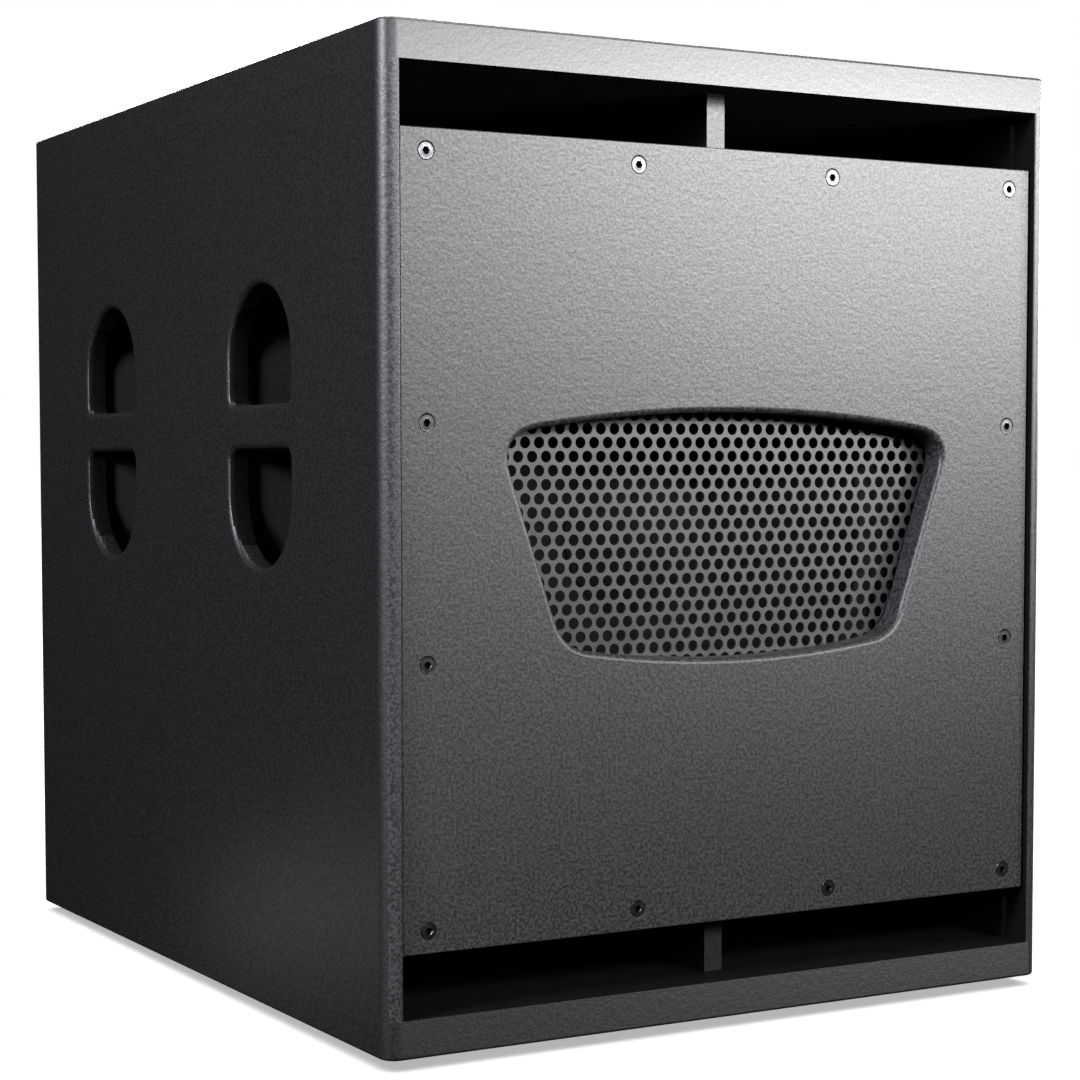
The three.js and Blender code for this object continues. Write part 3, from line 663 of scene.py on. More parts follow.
def basket():
    """Cast frame: flange, stepped throat, webbed spokes and a rear cup."""
    builder = bmesh.new()
    flange = [(231, 70), (230, 69.1), (200, 69.1), (199, 70), (199, 92), (202, 95.5), (209, 95.5)]
    flange += [(209.4, 76), (230.3, 75), (231, 74.2)]
    rear = [(112, 165), (112, 177.3), (111, 177.7), (70, 177.7), (70, 173), (84, 172), (86, 170)]
    rear += [(86, 159), (100, 159), (110, 158)]
    for profile in (flange, rear):
        turn(builder, profile)
    for i in range(SPOKE_COUNT):
        spoke(builder, i * 2 * math.pi / SPOKE_COUNT)
    bmesh.ops.recalc_face_normals(builder, faces=builder.faces)
    return shade(make_object("cast_basket", builder), 40)


def spoke(builder, angle):
    """One spoke of the basket, a T section along a bowed path from the throat to the rear cup."""
    web, flat, rise = 4.0, 4, 13
    lean = (0.72, 0.55)  # how far the section's height goes outwards and rearwards
    rings = []
    for radius, depth, width in SPOKE_PATH:
        side = [(width / 2, 0), (width / 2, flat), (web, flat + 0.5), (web, rise)]
        section = [(-side[0][0], 0)] + side + [(-across, height) for across, height in side[:0:-1]]
        ring = []
        for across, height in section:
            r, y = (radius + height * lean[0]) * MM, depth + height * lean[1]
            x = r * math.cos(angle) - across * MM * math.sin(angle)
            z = r * math.sin(angle) + across * MM * math.cos(angle)
            ring.append((x, from_front(y), MIDDLE + z))
        rings.append(ring)
    skin(builder, rings)


def motor_ring(name, size, edge=MOTOR_EDGE):
    """A flat turned ring with broken outer edges."""
    outer, inner, front, back = (size[key] for key in ("outer", "inner", "front", "back"))
    profile = [(inner, front), (outer - edge, front), (outer, front + edge)]
    return lathe(name, profile + [(outer, back - edge), (outer - edge, back), (inner, back)])


def pole_piece():
    """The pole with its vent, turned in one piece with the rear plate."""
    outer, seat, back = POLE_PLATE["outer"], POLE_PLATE["front"], POLE["back"]
    radius, vent, front, edge = POLE["radius"], POLE["vent"], POLE["front"], MOTOR_EDGE
    profile = [(vent + edge, front), (radius - edge, front), (radius, front + edge), (radius, seat)]
    profile += [(outer - edge, seat), (outer, seat + edge), (outer, back - edge), (outer - edge, back)]
    return lathe("pole_piece", profile + [(vent + edge, back), (vent, back - edge), (vent, front + edge)])


# -------- grips, connectors and feet


def fillet(radius, steps):
    """(depth, inset) pairs of a quarter turn from a wall into a floor."""
    angles = [math.pi / 2 * i / steps for i in range(1, steps + 1)]
    return [(radius * math.sin(a), radius * (1 - math.cos(a))) for a in angles]


def hand_cup(name, node, hand):
    """Moulded cup behind a pair of hand-holes: flanged mouth, drafted walls and a filleted floor."""
    low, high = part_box(node)
    mouth = high.x if hand > 0 else low.x
    _, middle_y, middle_z = middle_of(node)
    flange, wall_thickness, corner = CUP["flange"], CUP["wall"], CUP["corner"]
    width, height = (size - 2 * flange for size in size_of(node)[1:])
    straight = CUP["depth"] - CUP["fillet"]

    def ring(depth, inset):
        outline = rounded_rectangle(width - 2 * inset, height - 2 * inset, max(corner - inset, 6), 8)
        x = mouth - hand * depth * MM
        return [(x, middle_y + u * MM, middle_z + v * MM) for u, v in outline]

    inner = [(1.5, 0.0), (straight, CUP["draft"])]
    inner += [(straight + d, CUP["draft"] + g) for d, g in fillet(CUP["fillet"], 7)]
    rim = [(0.4, -0.4), (0.0, -1.5), (0.0, 0.5 - flange), (0.5, -flange), (CUP["flange_depth"], -flange)]
    outer = []
    for depth, inset in inner:
        behind = depth + wall_thickness if depth > wall_thickness else CUP["flange_depth"]
        outer.append((behind, inset - wall_thickness))
    return skinned(name, [ring(*pair) for pair in inner[::-1] + rim + outer], 40)


def socket_centres():
    """Where the two sockets stand on the dish's floor, as (x, z)."""
    return [middle_of(f"input_socket_{i}")[::2] for i in (1, 2)]


def rear_dish():
    """Connector dish: rounded flange on the back panel and a drafted, filleted tub."""
    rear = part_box("connector_dish")[1].y
    middle_x, _, middle_z = middle_of("connector_dish")
    width, back, height = size_of("connector_dish")
    margin, thickness = DISH_FLANGE["margin"], DISH_TUB["wall"]
    full = (width, height)
    tub = (width - 2 * margin, height - 2 * margin)
    hollow = (tub[0] - 2 * thickness, tub[1] - 2 * thickness)
    builder = bmesh.new()
    edge, mouth, corner = DISH_FLANGE["edge"], DISH_TUB["mouth"], DISH_FLANGE["corner"]
    draft, floor, turn_in = DISH_TUB["draft"], DISH_TUB["floor"], DISH_TUB["fillet"]
    inner_corner, outer_corner = DISH_TUB["corner"], DISH_TUB["corner"] + thickness

    def place(depth):
        return lambda x, z: (x, rear - depth * MM, z)

    def outline(size, radius, growth):
        grown_size = (size[0] + 2 * growth, size[1] + 2 * growth)
        shape = rounded_rectangle(*grown_size, max(radius + growth, 1), 6)
        return [(middle_x + u * MM, middle_z + v * MM) for u, v in shape]

    def side(size, radius, pairs):
        wall(builder, place, [(depth, outline(size, radius, growth)) for depth, growth in pairs])

    side(full, corner, [(d, -g) for d, g in rounding(edge, 4)] + [(thickness, 0.0)])
    inside_pairs = rounding(mouth, 4) + [(floor - turn_in, -draft)]
    inside_pairs += [(floor - turn_in + d, -draft - g) for d, g in fillet(turn_in, 5)]
    side(hollow, inner_corner, inside_pairs)
    side(tub, outer_corner, [(thickness, 0.0), (back, 0.0)])
    holes = [circle(x, z, SOCKET_HOLE * MM, ROUND_SIDES) for x, z in socket_centres()]
    for hole in holes:
        wall(builder, place, [(floor, hole), (back, hole)])
    outer_tub = outline(tub, outer_corner, 0.0)
    fill(builder, [outline(full, corner, -edge), outline(hollow, inner_corner, mouth)], place(0.0))
    fill(builder, [outline(full, corner, 0.0), outer_tub], place(thickness))
    fill(builder, [outline(hollow, inner_corner, -draft - turn_in)] + holes, place(floor))
    fill(builder, [outer_tub] + holes, place(back))
    return finished("rear_dish", builder, 40)


def keyed_circle(x, z, radius, notch):
    """A circle with two notches, above and below, cut outwards by a depth in millimetres."""

    def reach(angle):
        return (radius + (notch if abs(math.sin(angle)) > 0.985 else 0.0)) * MM

    return polar(x, z, SOCKET["sides"], reach)


def panel_socket(i, x, z):
    """Four-pole socket: square flange, raised collar, notched bore and keyed core."""
    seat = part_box(f"input_socket_{i}")[1].y  # rear face of the collar
    width, _, height = size_of(f"input_socket_{i}")
    rise, collar, barrel_end = SOCKET["rise"], SOCKET["collar"], SOCKET["barrel_end"]
    flange_back, floor, core_top = rise + SOCKET["flange"], SOCKET["floor"], SOCKET["core_top"]
    builder = bmesh.new()

    def place(depth):
        return lambda u, v: (u, seat - depth * MM, v)

    def plate(inset):
        size = (width - 2 * inset, height - 2 * inset)
        shape = rounded_rectangle(*size, SOCKET["flange_corner"] - inset, 5)
        return [(x + u * MM, z + v * MM) for u, v in shape]

    def round_at(radius):
        return circle(x, z, radius * MM, SOCKET["sides"])

    def bore(growth):
        return keyed_circle(x, z, SOCKET["bore"] + growth, 1.0)

    def core(inset):
        return keyed_circle(x, z, SOCKET["core"] - inset, 0.9)

    flange = [(rise + depth, plate(inset)) for depth, inset in rounding(0.6, 3)]
    wall(builder, place, flange + [(flange_back, plate(0.0))])
    wall(builder, place, [(rise, round_at(collar)), (0.4, round_at(collar)), (0.0, round_at(collar - 0.4))])
    wall(builder, place, [(0.0, bore(0.3)), (0.3, bore(0.0)), (floor, bore(0.0))])
    wall(builder, place, [(floor, core(0.0)), (core_top + 0.6, core(0.0)), (core_top, core(0.6))])
    wall(builder, place, [(flange_back, round_at(collar)), (barrel_end, round_at(collar))])
    fill(builder, [plate(0.6), round_at(collar)], place(rise))
    fill(builder, [plate(0.0), round_at(collar)], place(flange_back))
    fill(builder, [round_at(collar - 0.4), bore(0.3)], place(0.0))
    fill(builder, [bore(0.0), core(0.0)], place(floor))
    fill(builder, [core(0.6)], place(core_top))
    fill(builder, [round_at(collar)], place(barrel_end))
    return finished(f"panel_socket_{i}", builder, 35)


def cross_screw(name, shape, turned, place):
    """A turned screw with a cross recess, put in space by place(u, v, rise)."""
    levels = [(circle(0, 0, radius, ROUND_SIDES), rise) for radius, rise in shape["outside"]]
    levels += [(cross(radius, turned), rise) for radius, rise in shape["recess"]]
    rings = [[place(u * MM, v * MM, rise * MM) for u, v in outline] for outline, rise in levels]
    return skinned(name, rings, 35)


def pan_screw(name, at_point, turned):
    """Small pan-head screw along Y, its seat at a point and its head towards the rear."""
    x, seat, z = at_point
    return cross_screw(name, PAN_SCREW, turned, lambda u, v, rise: (x + u, seat + rise, z + v))


def cross(size, turned):
    """A cross-shaped recess, sampled at the same angles as its screw's head."""

    def reach(angle):
        return size * (1.0 if abs(math.sin(2 * (angle - turned))) < 0.4 else 0.38)

    return polar(0, 0, ROUND_SIDES, reach)


def rubber_foot(name, node):
    """Turned rubber foot with a rounded tread and a recess for its screw."""
    x, y, _ = middle_of(node)
    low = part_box(node)[0].z
    width, _, top = size_of(node)
    radius = width / 2
    profile = [(4.6, 4.0), (5.0, 3.6), (5.2, 1.0), (6.2, 0.0), (radius - 3.5, 0.0), (radius - 1.4, 0.5)]
    profile += [(radius - 0.3, 1.9), (radius, 3.2), (radius, top - 0.4), (radius - 0.4, top)]
    rings = []
    for reach, rise in profile:
        outline = circle(x, y, reach * MM, ROUND_SIDES)
        rings.append([(u, v, low + rise * MM) for u, v in outline])
    return skinned(name, rings, 40)


def foot_screw(name, node):
    """Washer and domed screw head in a foot's recess."""
    x, y, _ = middle_of(node)
    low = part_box(node)[0].z
    return cross_screw(name, FOOT_SCREW, 0.3, lambda u, v, rise: (x + u, y + v, low + rise))


# -------- materials


def grey(value, blue=None):
    """A grey, or one with its own amount of blue."""
    return (value, value, value if blue is None else blue)


class Look:
    """One procedural material: a principled shader with helpers that add noise, bump and edge wear."""

    def __init__(self, name, metallic=0.0, specular=0.5):
        self.material = bpy.data.materials.new(name)
        self.material.use_nodes = True
        self.tree = self.material.node_tree
        self.shader = self.tree.nodes["Principled BSDF"]
        self.shader.inputs["Metallic"].default_value = metallic
        self.shader.inputs["Specular IOR Level"].default_value = specular
        self.place = self.tree.nodes.new("ShaderNodeTexCoord").outputs["Object"]
        self.normal = None

    def add(self, kind, inputs=None, **settings):
        made = self.tree.nodes.new(kind)
        for key, value in settings.items():
            setattr(made, key, value)
        for key, value in (inputs or {}).items():
            self.put(made.inputs[key], value)
        return made

    def put(self, socket, value):
        if isinstance(value, bpy.types.NodeSocket):
            self.tree.links.new(value, socket)
        else:
            socket.default_value = value

    def stretched(self, scale):
        mapping = self.add("ShaderNodeMapping", {"Vector": self.place})
        mapping.inputs["Scale"].default_value = scale
        return mapping.outputs[0]

    def along(self, axis):
        return self.add("ShaderNodeSeparateXYZ", {"Vector": self.place}).outputs[axis]

    def noise(self, scale, detail=2.0, roughness=0.5, vector=None):
        inputs = {"Scale": scale, "Detail": detail, "Roughness": roughness}
        inputs["Vector"] = vector or self.place
        return self.add("ShaderNodeTexNoise", inputs).outputs["Fac"]

    def between(self, value, low, high, to_low=0.0, to_high=1.0):
        inputs = {"Value": value, "From Min": low, "From Max": high, "To Min": to_low, "To Max": to_high}
        return self.add("ShaderNodeMapRange", inputs).outputs["Result"]

    def math(self, operation, first, second=0.5):
        made = self.add("ShaderNodeMath", operation=operation)
        self.put(made.inputs[0], first)
        self.put(made.inputs[1], second)
        return made.outputs[0]

    def wave(self, value, pitch):
        """A sine along a coordinate, repeating at a pitch in millimetres."""
        return self.math("SINE", self.math("MULTIPLY", value, 2 * math.pi / (pitch * MM)))

    def mix(self, amount, first, second):
        made = self.add("ShaderNodeMix", data_type="RGBA")
        self.put(made.inputs["Factor"], amount)
        for socket, value in ((made.inputs[6], first), (made.inputs[7], second)):
            self.put(socket, value if isinstance(value, bpy.types.NodeSocket) else (*value, 1.0))
        return made.outputs[2]

    def blend(self, value, dark, light, low=0.35, high=0.65):
        """From dark to light as the value goes from low to high."""
        return self.mix(self.between(value, low, high), dark, light)

    def bump(self, height, distance, strength):
        """Relief from a height between 0 and 1, its distance in millimetres."""
        inputs = {"Height": height, "Distance": distance * MM, "Strength": strength}
        if self.normal is not None:
            inputs["Normal"] = self.normal
        self.normal = self.add("ShaderNodeBump", inputs).outputs["Normal"]

    def worn_edges(self, radius):
        """1 on convex edges and corners, 0 on flat ground, from a radius in millimetres."""
        soft = self.add("ShaderNodeBevel", {"Radius": radius * MM}, samples=4).outputs["Normal"]
        real = self.add("ShaderNodeNewGeometry").outputs["Normal"]
        made = self.add("ShaderNodeVectorMath", operation="DOT_PRODUCT")
        self.put(made.inputs[0], soft)
        self.put(made.inputs[1], real)
        return self.between(made.outputs["Value"], 1.0, 0.88)

    def rubbed(self, colour, radius, amount, light):
        """The colour with its edges rubbed lighter."""
        return self.mix(self.math("MULTIPLY", self.worn_edges(radius), amount), colour, light)

    def finish(self, colour, roughness):
        self.put(self.shader.inputs["Base Color"], colour)
        self.put(self.shader.inputs["Roughness"], roughness)
        if self.normal is not None:
            self.put(self.shader.inputs["Normal"], self.normal)
        return self.material


def spatter_paint(name, dark, light, relief=1.0):
    """Black textured cabinet paint: pebbly drops, fine speckle and edges rubbed a little lighter."""
    look = Look(name)
    drops = look.noise(230, 1)
    grit = look.noise(480, 2, 0.55)
    speckled = look.blend(grit, dark, light, 0.40, 0.60)
    patches = look.between(look.noise(5, 3), 0.3, 0.7, 0.0, 0.15)
    patched = look.mix(patches, speckled, light)
    wear = look.math("MULTIPLY", look.worn_edges(1.5), look.between(drops, 0.4, 0.6))
    worn = look.mix(look.math("MULTIPLY", wear, 0.5), patched, tuple(1.6 * c for c in light))
    look.bump(drops, 0.40, 0.4 * relief)
    look.bump(grit, 0.25, 0.6 * relief)
    return look.finish(worn, look.between(grit, 0.35, 0.65, 0.46, 0.43))


def inner_paint(name, dark, light, shine=0.3):
    """Matt black inside the box, brushed on thinly over the boards."""
    look = Look(name, specular=shine)
    speckle = look.noise(420, 3, 0.6)
    look.bump(speckle, 0.3, 0.4)
    rough = look.between(look.noise(60), 0.3, 0.7, 0.68, 0.85)
    return look.finish(look.blend(speckle, dark, light, 0.3, 0.7), rough)


def powder_coat():
    """Grille: black powder coat with fine orange peel, its punched rims slightly polished."""
    look = Look("grille_coat")
    peel = look.noise(900)
    colour = look.blend(look.noise(40, 3), grey(0.018, 0.020), grey(0.030, 0.033))
    look.bump(peel, 0.15, 0.35)
    colour = look.rubbed(colour, 0.5, 0.35, grey(0.11, 0.115))
    return look.finish(colour, look.between(peel, 0.3, 0.7, 0.36, 0.5))


def plated_steel(name, bright, dull):
    look = Look(name, metallic=1.0)
    lines = look.noise(70, 4, 0.7, look.stretched((1.0, 60.0, 6.0)))
    blotch = look.noise(240, 3)
    look.bump(lines, 0.05, 0.3)
    return look.finish(look.blend(blotch, bright, dull), look.between(blotch, 0.3, 0.7, 0.26, 0.42))


def socket_painted_shade():
    """Painted shade: near-black for the inside of a screw's socket, where shade falls."""
    look = Look("socket_painted_shade", specular=0.1)
    grit = look.noise(900)
    look.bump(grit, 0.1, 0.4)
    return look.finish(look.mix(grit, grey(0.001), grey(0.004)), look.between(grit, 0, 1, 0.8, 1.0))


def cast_metal():
    look = Look("cast_frame_coat")
    grain = look.noise(480, 4, 0.6)
    colour = look.blend(grain, grey(0.010, 0.011), grey(0.024, 0.026))
    look.bump(grain, 0.4, 0.5)
    colour = look.rubbed(colour, 1.0, 0.3, grey(0.12, 0.125))
    return look.finish(colour, look.between(grain, 0.3, 0.7, 0.42, 0.6))


def paper():
    """Cone pulp: short fibres, soft blotches."""
    look = Look("cone_pulp", specular=0.12)
    fibres = look.noise(420, 5, 0.7, look.stretched((1.0, 1.0, 2.6)))
    blotch = look.noise(38, 3)
    tone = look.math("ADD", look.math("MULTIPLY", fibres, 0.7), look.math("MULTIPLY", blotch, 0.3))
    look.bump(fibres, 0.4, 0.55)
    colour = look.blend(tone, grey(0.004), (0.011, 0.0105, 0.010), 0.38, 0.62)
    return look.finish(colour, look.between(fibres, 0.3, 0.7, 0.78, 0.95))


def woven(name, dark, light, pitch, shine):
    """Doped cloth: a plain weave of two crossed thread waves."""
    look = Look(name, specular=shine)
    weave = look.math("MULTIPLY", look.wave(look.along("X"), pitch), look.wave(look.along("Z"), pitch))
    blotch = look.noise(90, 4, 0.6)
    tone = look.math("ADD", look.between(weave, -1, 1, 0.0, 0.6), look.math("MULTIPLY", blotch, 0.4))
    look.bump(weave, 0.15, 0.6)
    return look.finish(look.mix(tone, dark, light), look.between(blotch, 0.3, 0.7, 0.7, 0.9))


def moulded(name, dark, light, roughness=(0.42, 0.58), grain=700, depth=0.12):
    """Moulded plastic or rubber with a spark-eroded grain."""
    look = Look(name)
    fine = look.noise(grain, 3, 0.6)
    colour = look.blend(look.noise(30, 3), dark, light)
    look.bump(fine, depth, 0.5)
    colour = look.rubbed(colour, 0.8, 0.3, tuple(2.2 * c + 0.01 for c in light))
    return look.finish(colour, look.between(fine, 0.3, 0.7, *roughness))


def foam():
    look = Look("foam_strip", specular=0.2)
    pores = look.add("ShaderNodeTexVoronoi", {"Scale": 900, "Vector": look.place}).outputs["Distance"]
    look.bump(pores, 0.4, 0.7)
    colour = look.blend(pores, grey(0.006), grey(0.025, 0.026), 0.1, 0.7)
    return look.finish(colour, look.between(look.noise(200), 0.3, 0.7, 0.85, 1.0))


def ferrite():
    look = Look("ferrite_ring", specular=0.4)
    grit = look.noise(350, 4, 0.65)
    look.bump(grit, 0.25, 0.5)
    colour = look.blend(grit, grey(0.03, 0.032), (0.065, 0.064, 0.066))
    return look.finish(colour, look.between(grit, 0.3, 0.7, 0.6, 0.8))


def copper_winding():
    """Voice coil: turns of wire along its axis."""
    look = Look("copper_turns", metallic=1.0)
    turns = look.wave(look.along("Y"), 0.5)
    look.bump(turns, 0.12, 0.8)
    colour = look.blend(turns, (0.30, 0.12, 0.05), (0.72, 0.35, 0.18), -1, 1)
    return look.finish(colour, look.between(look.noise(200), 0.3, 0.7, 0.3, 0.5))


def plywood():
    """Bare birch: long grain on the faces and thin dark plies on the edges."""
    look = Look("birch_board", specular=0.3)
    grain = look.noise(26, 5, 0.65, look.stretched((1.0, 14.0, 14.0)))
    face = look.blend(grain, (0.52, 0.36, 0.20), (0.66, 0.50, 0.31))
    plies = look.between(look.wave(look.along("Y"), 2.8), 0.2, 0.9, 0.0, 0.35)
    look.bump(grain, 0.2, 0.4)
    rough = look.between(grain, 0.3, 0.7, 0.55, 0.75)
    return look.finish(look.mix(plies, face, (0.26, 0.16, 0.08)), rough)


def studio_floor():
    look = Look("pale_floor", specular=0.2)
    cloud = look.noise(3, 3)
    look.bump(look.noise(300), 0.1, 0.2)
    colour = look.blend(cloud, grey(0.80), grey(0.84), 0.3, 0.7)
    return look.finish(colour, look.between(cloud, 0.3, 0.7, 0.7, 0.8))


# -------- assembly


def carry_over(material, bevel, *nodes):
    """CAD nodes whose shape is right: a better material and edges softened by some millimetres."""
    for name in nodes:
        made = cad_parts[name]
        made.data.materials.clear()
        made.data.materials.append(material)
        if bevel:
            softened = made.modifiers.new("softened", "BEVEL")
            softened.width = bevel * MM
            softened.segments = 3
            softened.limit_method = "ANGLE"
            softened.angle_limit = math.radians(40)
            softened.harden_normals = False


def paint_facing(made, material, direction, behind=FRONT):
    """Another paint on a board's faces that face along the direction, behind a place along Y."""
    index = made.data.materials.find(material.name)
    if index < 0:
        made.data.materials.append(material)
        index = len(made.data.materials) - 1
    for polygon in made.data.polygons:
        if polygon.normal.dot(Vector(direction)) > 0.7 and polygon.center.y > behind - MM:
            polygon.material_index = index


def build_box(paint, lid_paint, front_paint, ports_painted_shade):
    boards = [("lid_top", "top_panel", lid_paint, True), ("lid_bottom", "bottom_panel", paint, False)]
    for name, node, colour, is_top in boards:
        board = lid_board(name, node, is_top)
        stands_for(board, SHELL, "cabinet_paint", colour, node)
        # Faces inside the ports get a near-black paint: painted shade.
        paint_facing(board, ports_painted_shade, (0, 0, -1 if is_top else 1))
    for side, hand in HANDS:
        board = side_board("side_" + side, hand)
        stands_for(board, SHELL, "cabinet_paint", paint, "side_panel_" + side)
        # The front-facing lips get the lighter front paint: painted light.
        paint_facing(board, front_paint, (0, -1, 0))
        # The inward and rebate faces inside the ports get a near-black paint: painted shade.
        paint_facing(board, ports_painted_shade, (-hand, 0, 0))
        paint_facing(board, ports_painted_shade, (0, -1, 0), FRONT + CORNER_RADIUS)


def build_front(paint, coat, steel, black):
    stands_for(front_panel(), SHELL, "front_paint", paint, "front_panel")
    stands_for(grille(), SHELL, "grille_metal", coat, "grille")
    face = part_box("front_panel")[0].y
    for i, (x, z) in enumerate(screw_places(), 1):
        made = hexagon_screw(f"panel_bolt_{i:02d}", x, MIDDLE + z, face, PANEL_SCREW)
        stands_for(made, SHELL, "screw_steel", steel, f"panel_screw_{i:02d}")
        # The socket's inside gets painted shade.
        darken_socket(made, x, z, black)


def build_driver(looks):
    stands_for(basket(), SHELL, "cast_frame", looks["cast"], "driver_basket")
    stands_for(cone(), MOVING, "cone_paper", looks["paper"], "cone")
    stands_for(dust_cap(), MOVING, "cone_paper", looks["paper"], "dust_cap")
    for i in range(1, BOLT_COUNT + 1):
        node = f"driver_bolt_{i}"
        x, _, z = middle_of(node)
        made = hexagon_screw(f"basket_bolt_{i}", x, z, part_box(node)[0].y, DRIVER_BOLT)
        stands_for(made, SHELL, "bolt_steel", looks["bolts"], node)
    stretch_between(surround(), looks["cloth"], "surround", 200, 174)
    stretch_between(spider(), looks["spider"], "spider", SPIDER["flat"], 53)


def build_motor(plate):
    stands_for(motor_ring("motor_plate", TOP_PLATE), SHELL, "motor_steel", plate, "top_plate")
    stands_for(motor_ring("magnet_ring", MAGNET), SHELL, "ferrite", ferrite(), "magnet")
    stands_for(pole_piece(), SHELL, "motor_steel", plate, "pole_plate")
    coil = motor_ring("coil_winding", VOICE_COIL, 0.3)
    stands_for(coil, MOVING, "coil_wire", copper_winding(), "voice_coil")


def build_grips(material):
    for place in ("front", "rear"):
        for side, hand in HANDS:
            node = f"handle_cup_{place}_{side}"
            stands_for(hand_cup(f"grip_{place}_{side}", node, hand), SHELL, "inner_paint", material, node)


def build_rear(dish_material, socket_material, steel):
    stands_for(rear_dish(), SHELL, "dish_plastic", dish_material, "connector_dish")
    for i, (x, z) in enumerate(socket_centres(), 1):
        node = f"input_socket_{i}"
        stands_for(panel_socket(i, x, z), SHELL, "socket_plastic", socket_material, node)
        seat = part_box(node)[1].y - SOCKET["rise"] * MM
        for letter, hand in (("a", -1), ("b", 1)):
            corner = (x + hand * 9.8 * MM, seat, z + hand * 12.2 * MM)
            made = pan_screw(f"socket_screw_{i}_{letter}", corner, 0.4 * hand)
            stands_for(made, SHELL, "bolt_steel", steel)
    low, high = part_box("connector_dish")
    inset = DISH_SCREW_INSET * MM
    columns = (low.x + inset, middle_of("connector_dish")[0], high.x - inset)
    for i, x in enumerate(columns):
        for j, z in enumerate((low.z + inset, high.z - inset)):
            made = pan_screw(f"dish_screw_{2 * i + j + 1}", (x, high.y, z), 0.5 * i + 0.9 * j)
            stands_for(made, SHELL, "bolt_steel", steel)


def build_feet(rubber, steel):
    for place in ("front", "rear"):
        for side, _ in HANDS:
            node = f"foot_{place}_{side}"
            stands_for(rubber_foot(f"rubber_foot_{place}_{side}", node), SHELL, "foot_rubber", rubber, node)
            stands_for(foot_screw(f"foot_screw_{place}_{side}", node), SHELL, "bolt_steel", steel)


def stretch_between(made, material, node, fixed, moving):
    """Cloth that follows the cabinet outside its fixed radius and the cone inside the moving one."""
    made.data.materials.append(material)
    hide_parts(node)
    start = (fixed * MM, from_front(70), MIDDLE)
    end = (moving * MM, from_front(70), MIDDLE)
    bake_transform(made, SHELL, MOVING, start, end)
    weights = made.data.attributes["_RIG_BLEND"].data
    for vertex in made.data.vertices:
        radius = math.hypot(vertex.co.x, vertex.co.z - MIDDLE) / MM
        along = min(1.0, max(0.0, (fixed - radius) / (fixed - moving)))
        weights[vertex.index].value = along


# -------- camera and light


def set_camera():
    """The photograph's viewpoint."""
    yaw, pitch, roll = (math.radians(angle) for angle in CAMERA["angles"])
    level = Vector((math.cos(yaw), -math.sin(yaw), 0))
    ahead = Vector((math.sin(yaw), math.cos(yaw), 0))
    forward = ahead * math.cos(pitch) - Vector((0, 0, math.sin(pitch)))
    above = level.cross(forward)
    right = level * math.cos(roll) + above * math.sin(roll)
    up = above * math.cos(roll) - level * math.sin(roll)
    data = bpy.data.cameras.new("photo_camera")
    data.sensor_width = 36
    data.lens = CAMERA["lens"]
    data.shift_x, data.shift_y = CAMERA["shift"]
    data.clip_start = 0.05
    data.clip_end = 50
    camera = bpy.data.objects.new("photo_camera", data)
    bpy.context.scene.collection.objects.link(camera)
    turned = Matrix((right, up, -forward)).transposed().to_4x4()
    camera.matrix_world = Matrix.Translation(CAMERA["place"]) @ turned
    bpy.context.scene.camera = camera


def aimed_light(name, kind, place, target, power, colour=NEUTRAL, **settings):
    data = bpy.data.lights.new(name, kind)
    data.energy = power
    data.color = colour
    for key, value in settings.items():
        setattr(data, key, value)
    light = bpy.data.objects.new(name, data)
    bpy.context.scene.collection.objects.link(light)
    light.location = place
    light.visible_camera = False
    light.rotation_mode = "QUATERNION"
    light.rotation_quaternion = (Vector(place) - Vector(target)).to_track_quat("Z", "Y")
    return light


def area_lamp(name, place, target, size, power, colour=NEUTRAL):
    shape = {"shape": "RECTANGLE", "size": size[0], "size_y": size[1]}
    return aimed_light(name, "AREA", place, target, power, colour, **shape)


def spot_lamp(name, place, target, power, spread):
    """A spot lamp with a soft-edged cone of that many degrees."""
    shape = {"spot_size": math.radians(spread), "spot_blend": 1.0, "shadow_soft_size": 0.2}
    return aimed_light(name, "SPOT", place, target, power, **shape)


def lights_only(lights, objects, name):
    """These lights reach only these objects, as flags and barn doors would make them."""
    group = bpy.data.collections.new(name)
    for member in objects:
        group.objects.link(member)
    for light in lights:
        light.light_linking.receiver_collection = group


def soft_box(name, azimuth, elevation, target, size, power, colour=NEUTRAL):
    """A rectangular lamp 2.6 m from its target. Azimuth 0 is the front, 90 the right side."""
    a, e = math.radians(azimuth), math.radians(elevation)
    away = Vector((math.sin(a) * math.cos(e), -math.cos(a) * math.cos(e), math.sin(e)))
    return area_lamp(name, Vector(target) + away * 2.6, target, size, power, colour)


def sky_light(name, strength):
    """Soft light from straight above, for the floor."""
    return aimed_light(name, "SUN", (0, 0, 4), (0, 0, 0), strength, angle=math.radians(110))


def set_world():
    """White behind everything, seen by the camera and not in reflections."""
    world = bpy.data.worlds.new("studio")
    world.use_nodes = True
    world.node_tree.nodes["Background"].inputs["Color"].default_value = (1.0, 1.0, 1.0, 1.0)
    world.cycles_visibility.diffuse = False
    world.cycles_visibility.glossy = False
    bpy.context.scene.world = world
    bpy.context.scene.view_settings.view_transform = "Standard"


def add_floor():
    builder = bmesh.new()
    bmesh.ops.create_grid(builder, x_segments=2, y_segments=2, size=14)
    floor = make_object("studio_floor", builder)
    floor.data.materials.append(studio_floor())
    floor.visible_diffuse = False
    floor.visible_glossy = False
    return floor


def front_lamps():
    """Lamps for every piece but the top board."""
    panel_top = (0, FRONT, 0.60)
    return [
        spot_lamp("key", (1.15, -2.3, 1.30), (0.15, FRONT, 0.75), 344, 24),
        spot_lamp("right_key", (1.9, -2.3, 1.0), (0.27, FRONT, 0.60), 212, 22),
        soft_box("near_box", 15, 18, panel_top, (0.8, 0.5), 48),
        soft_box("left_box", -10, 22, panel_top, (0.8, 0.5), 55),
    ]


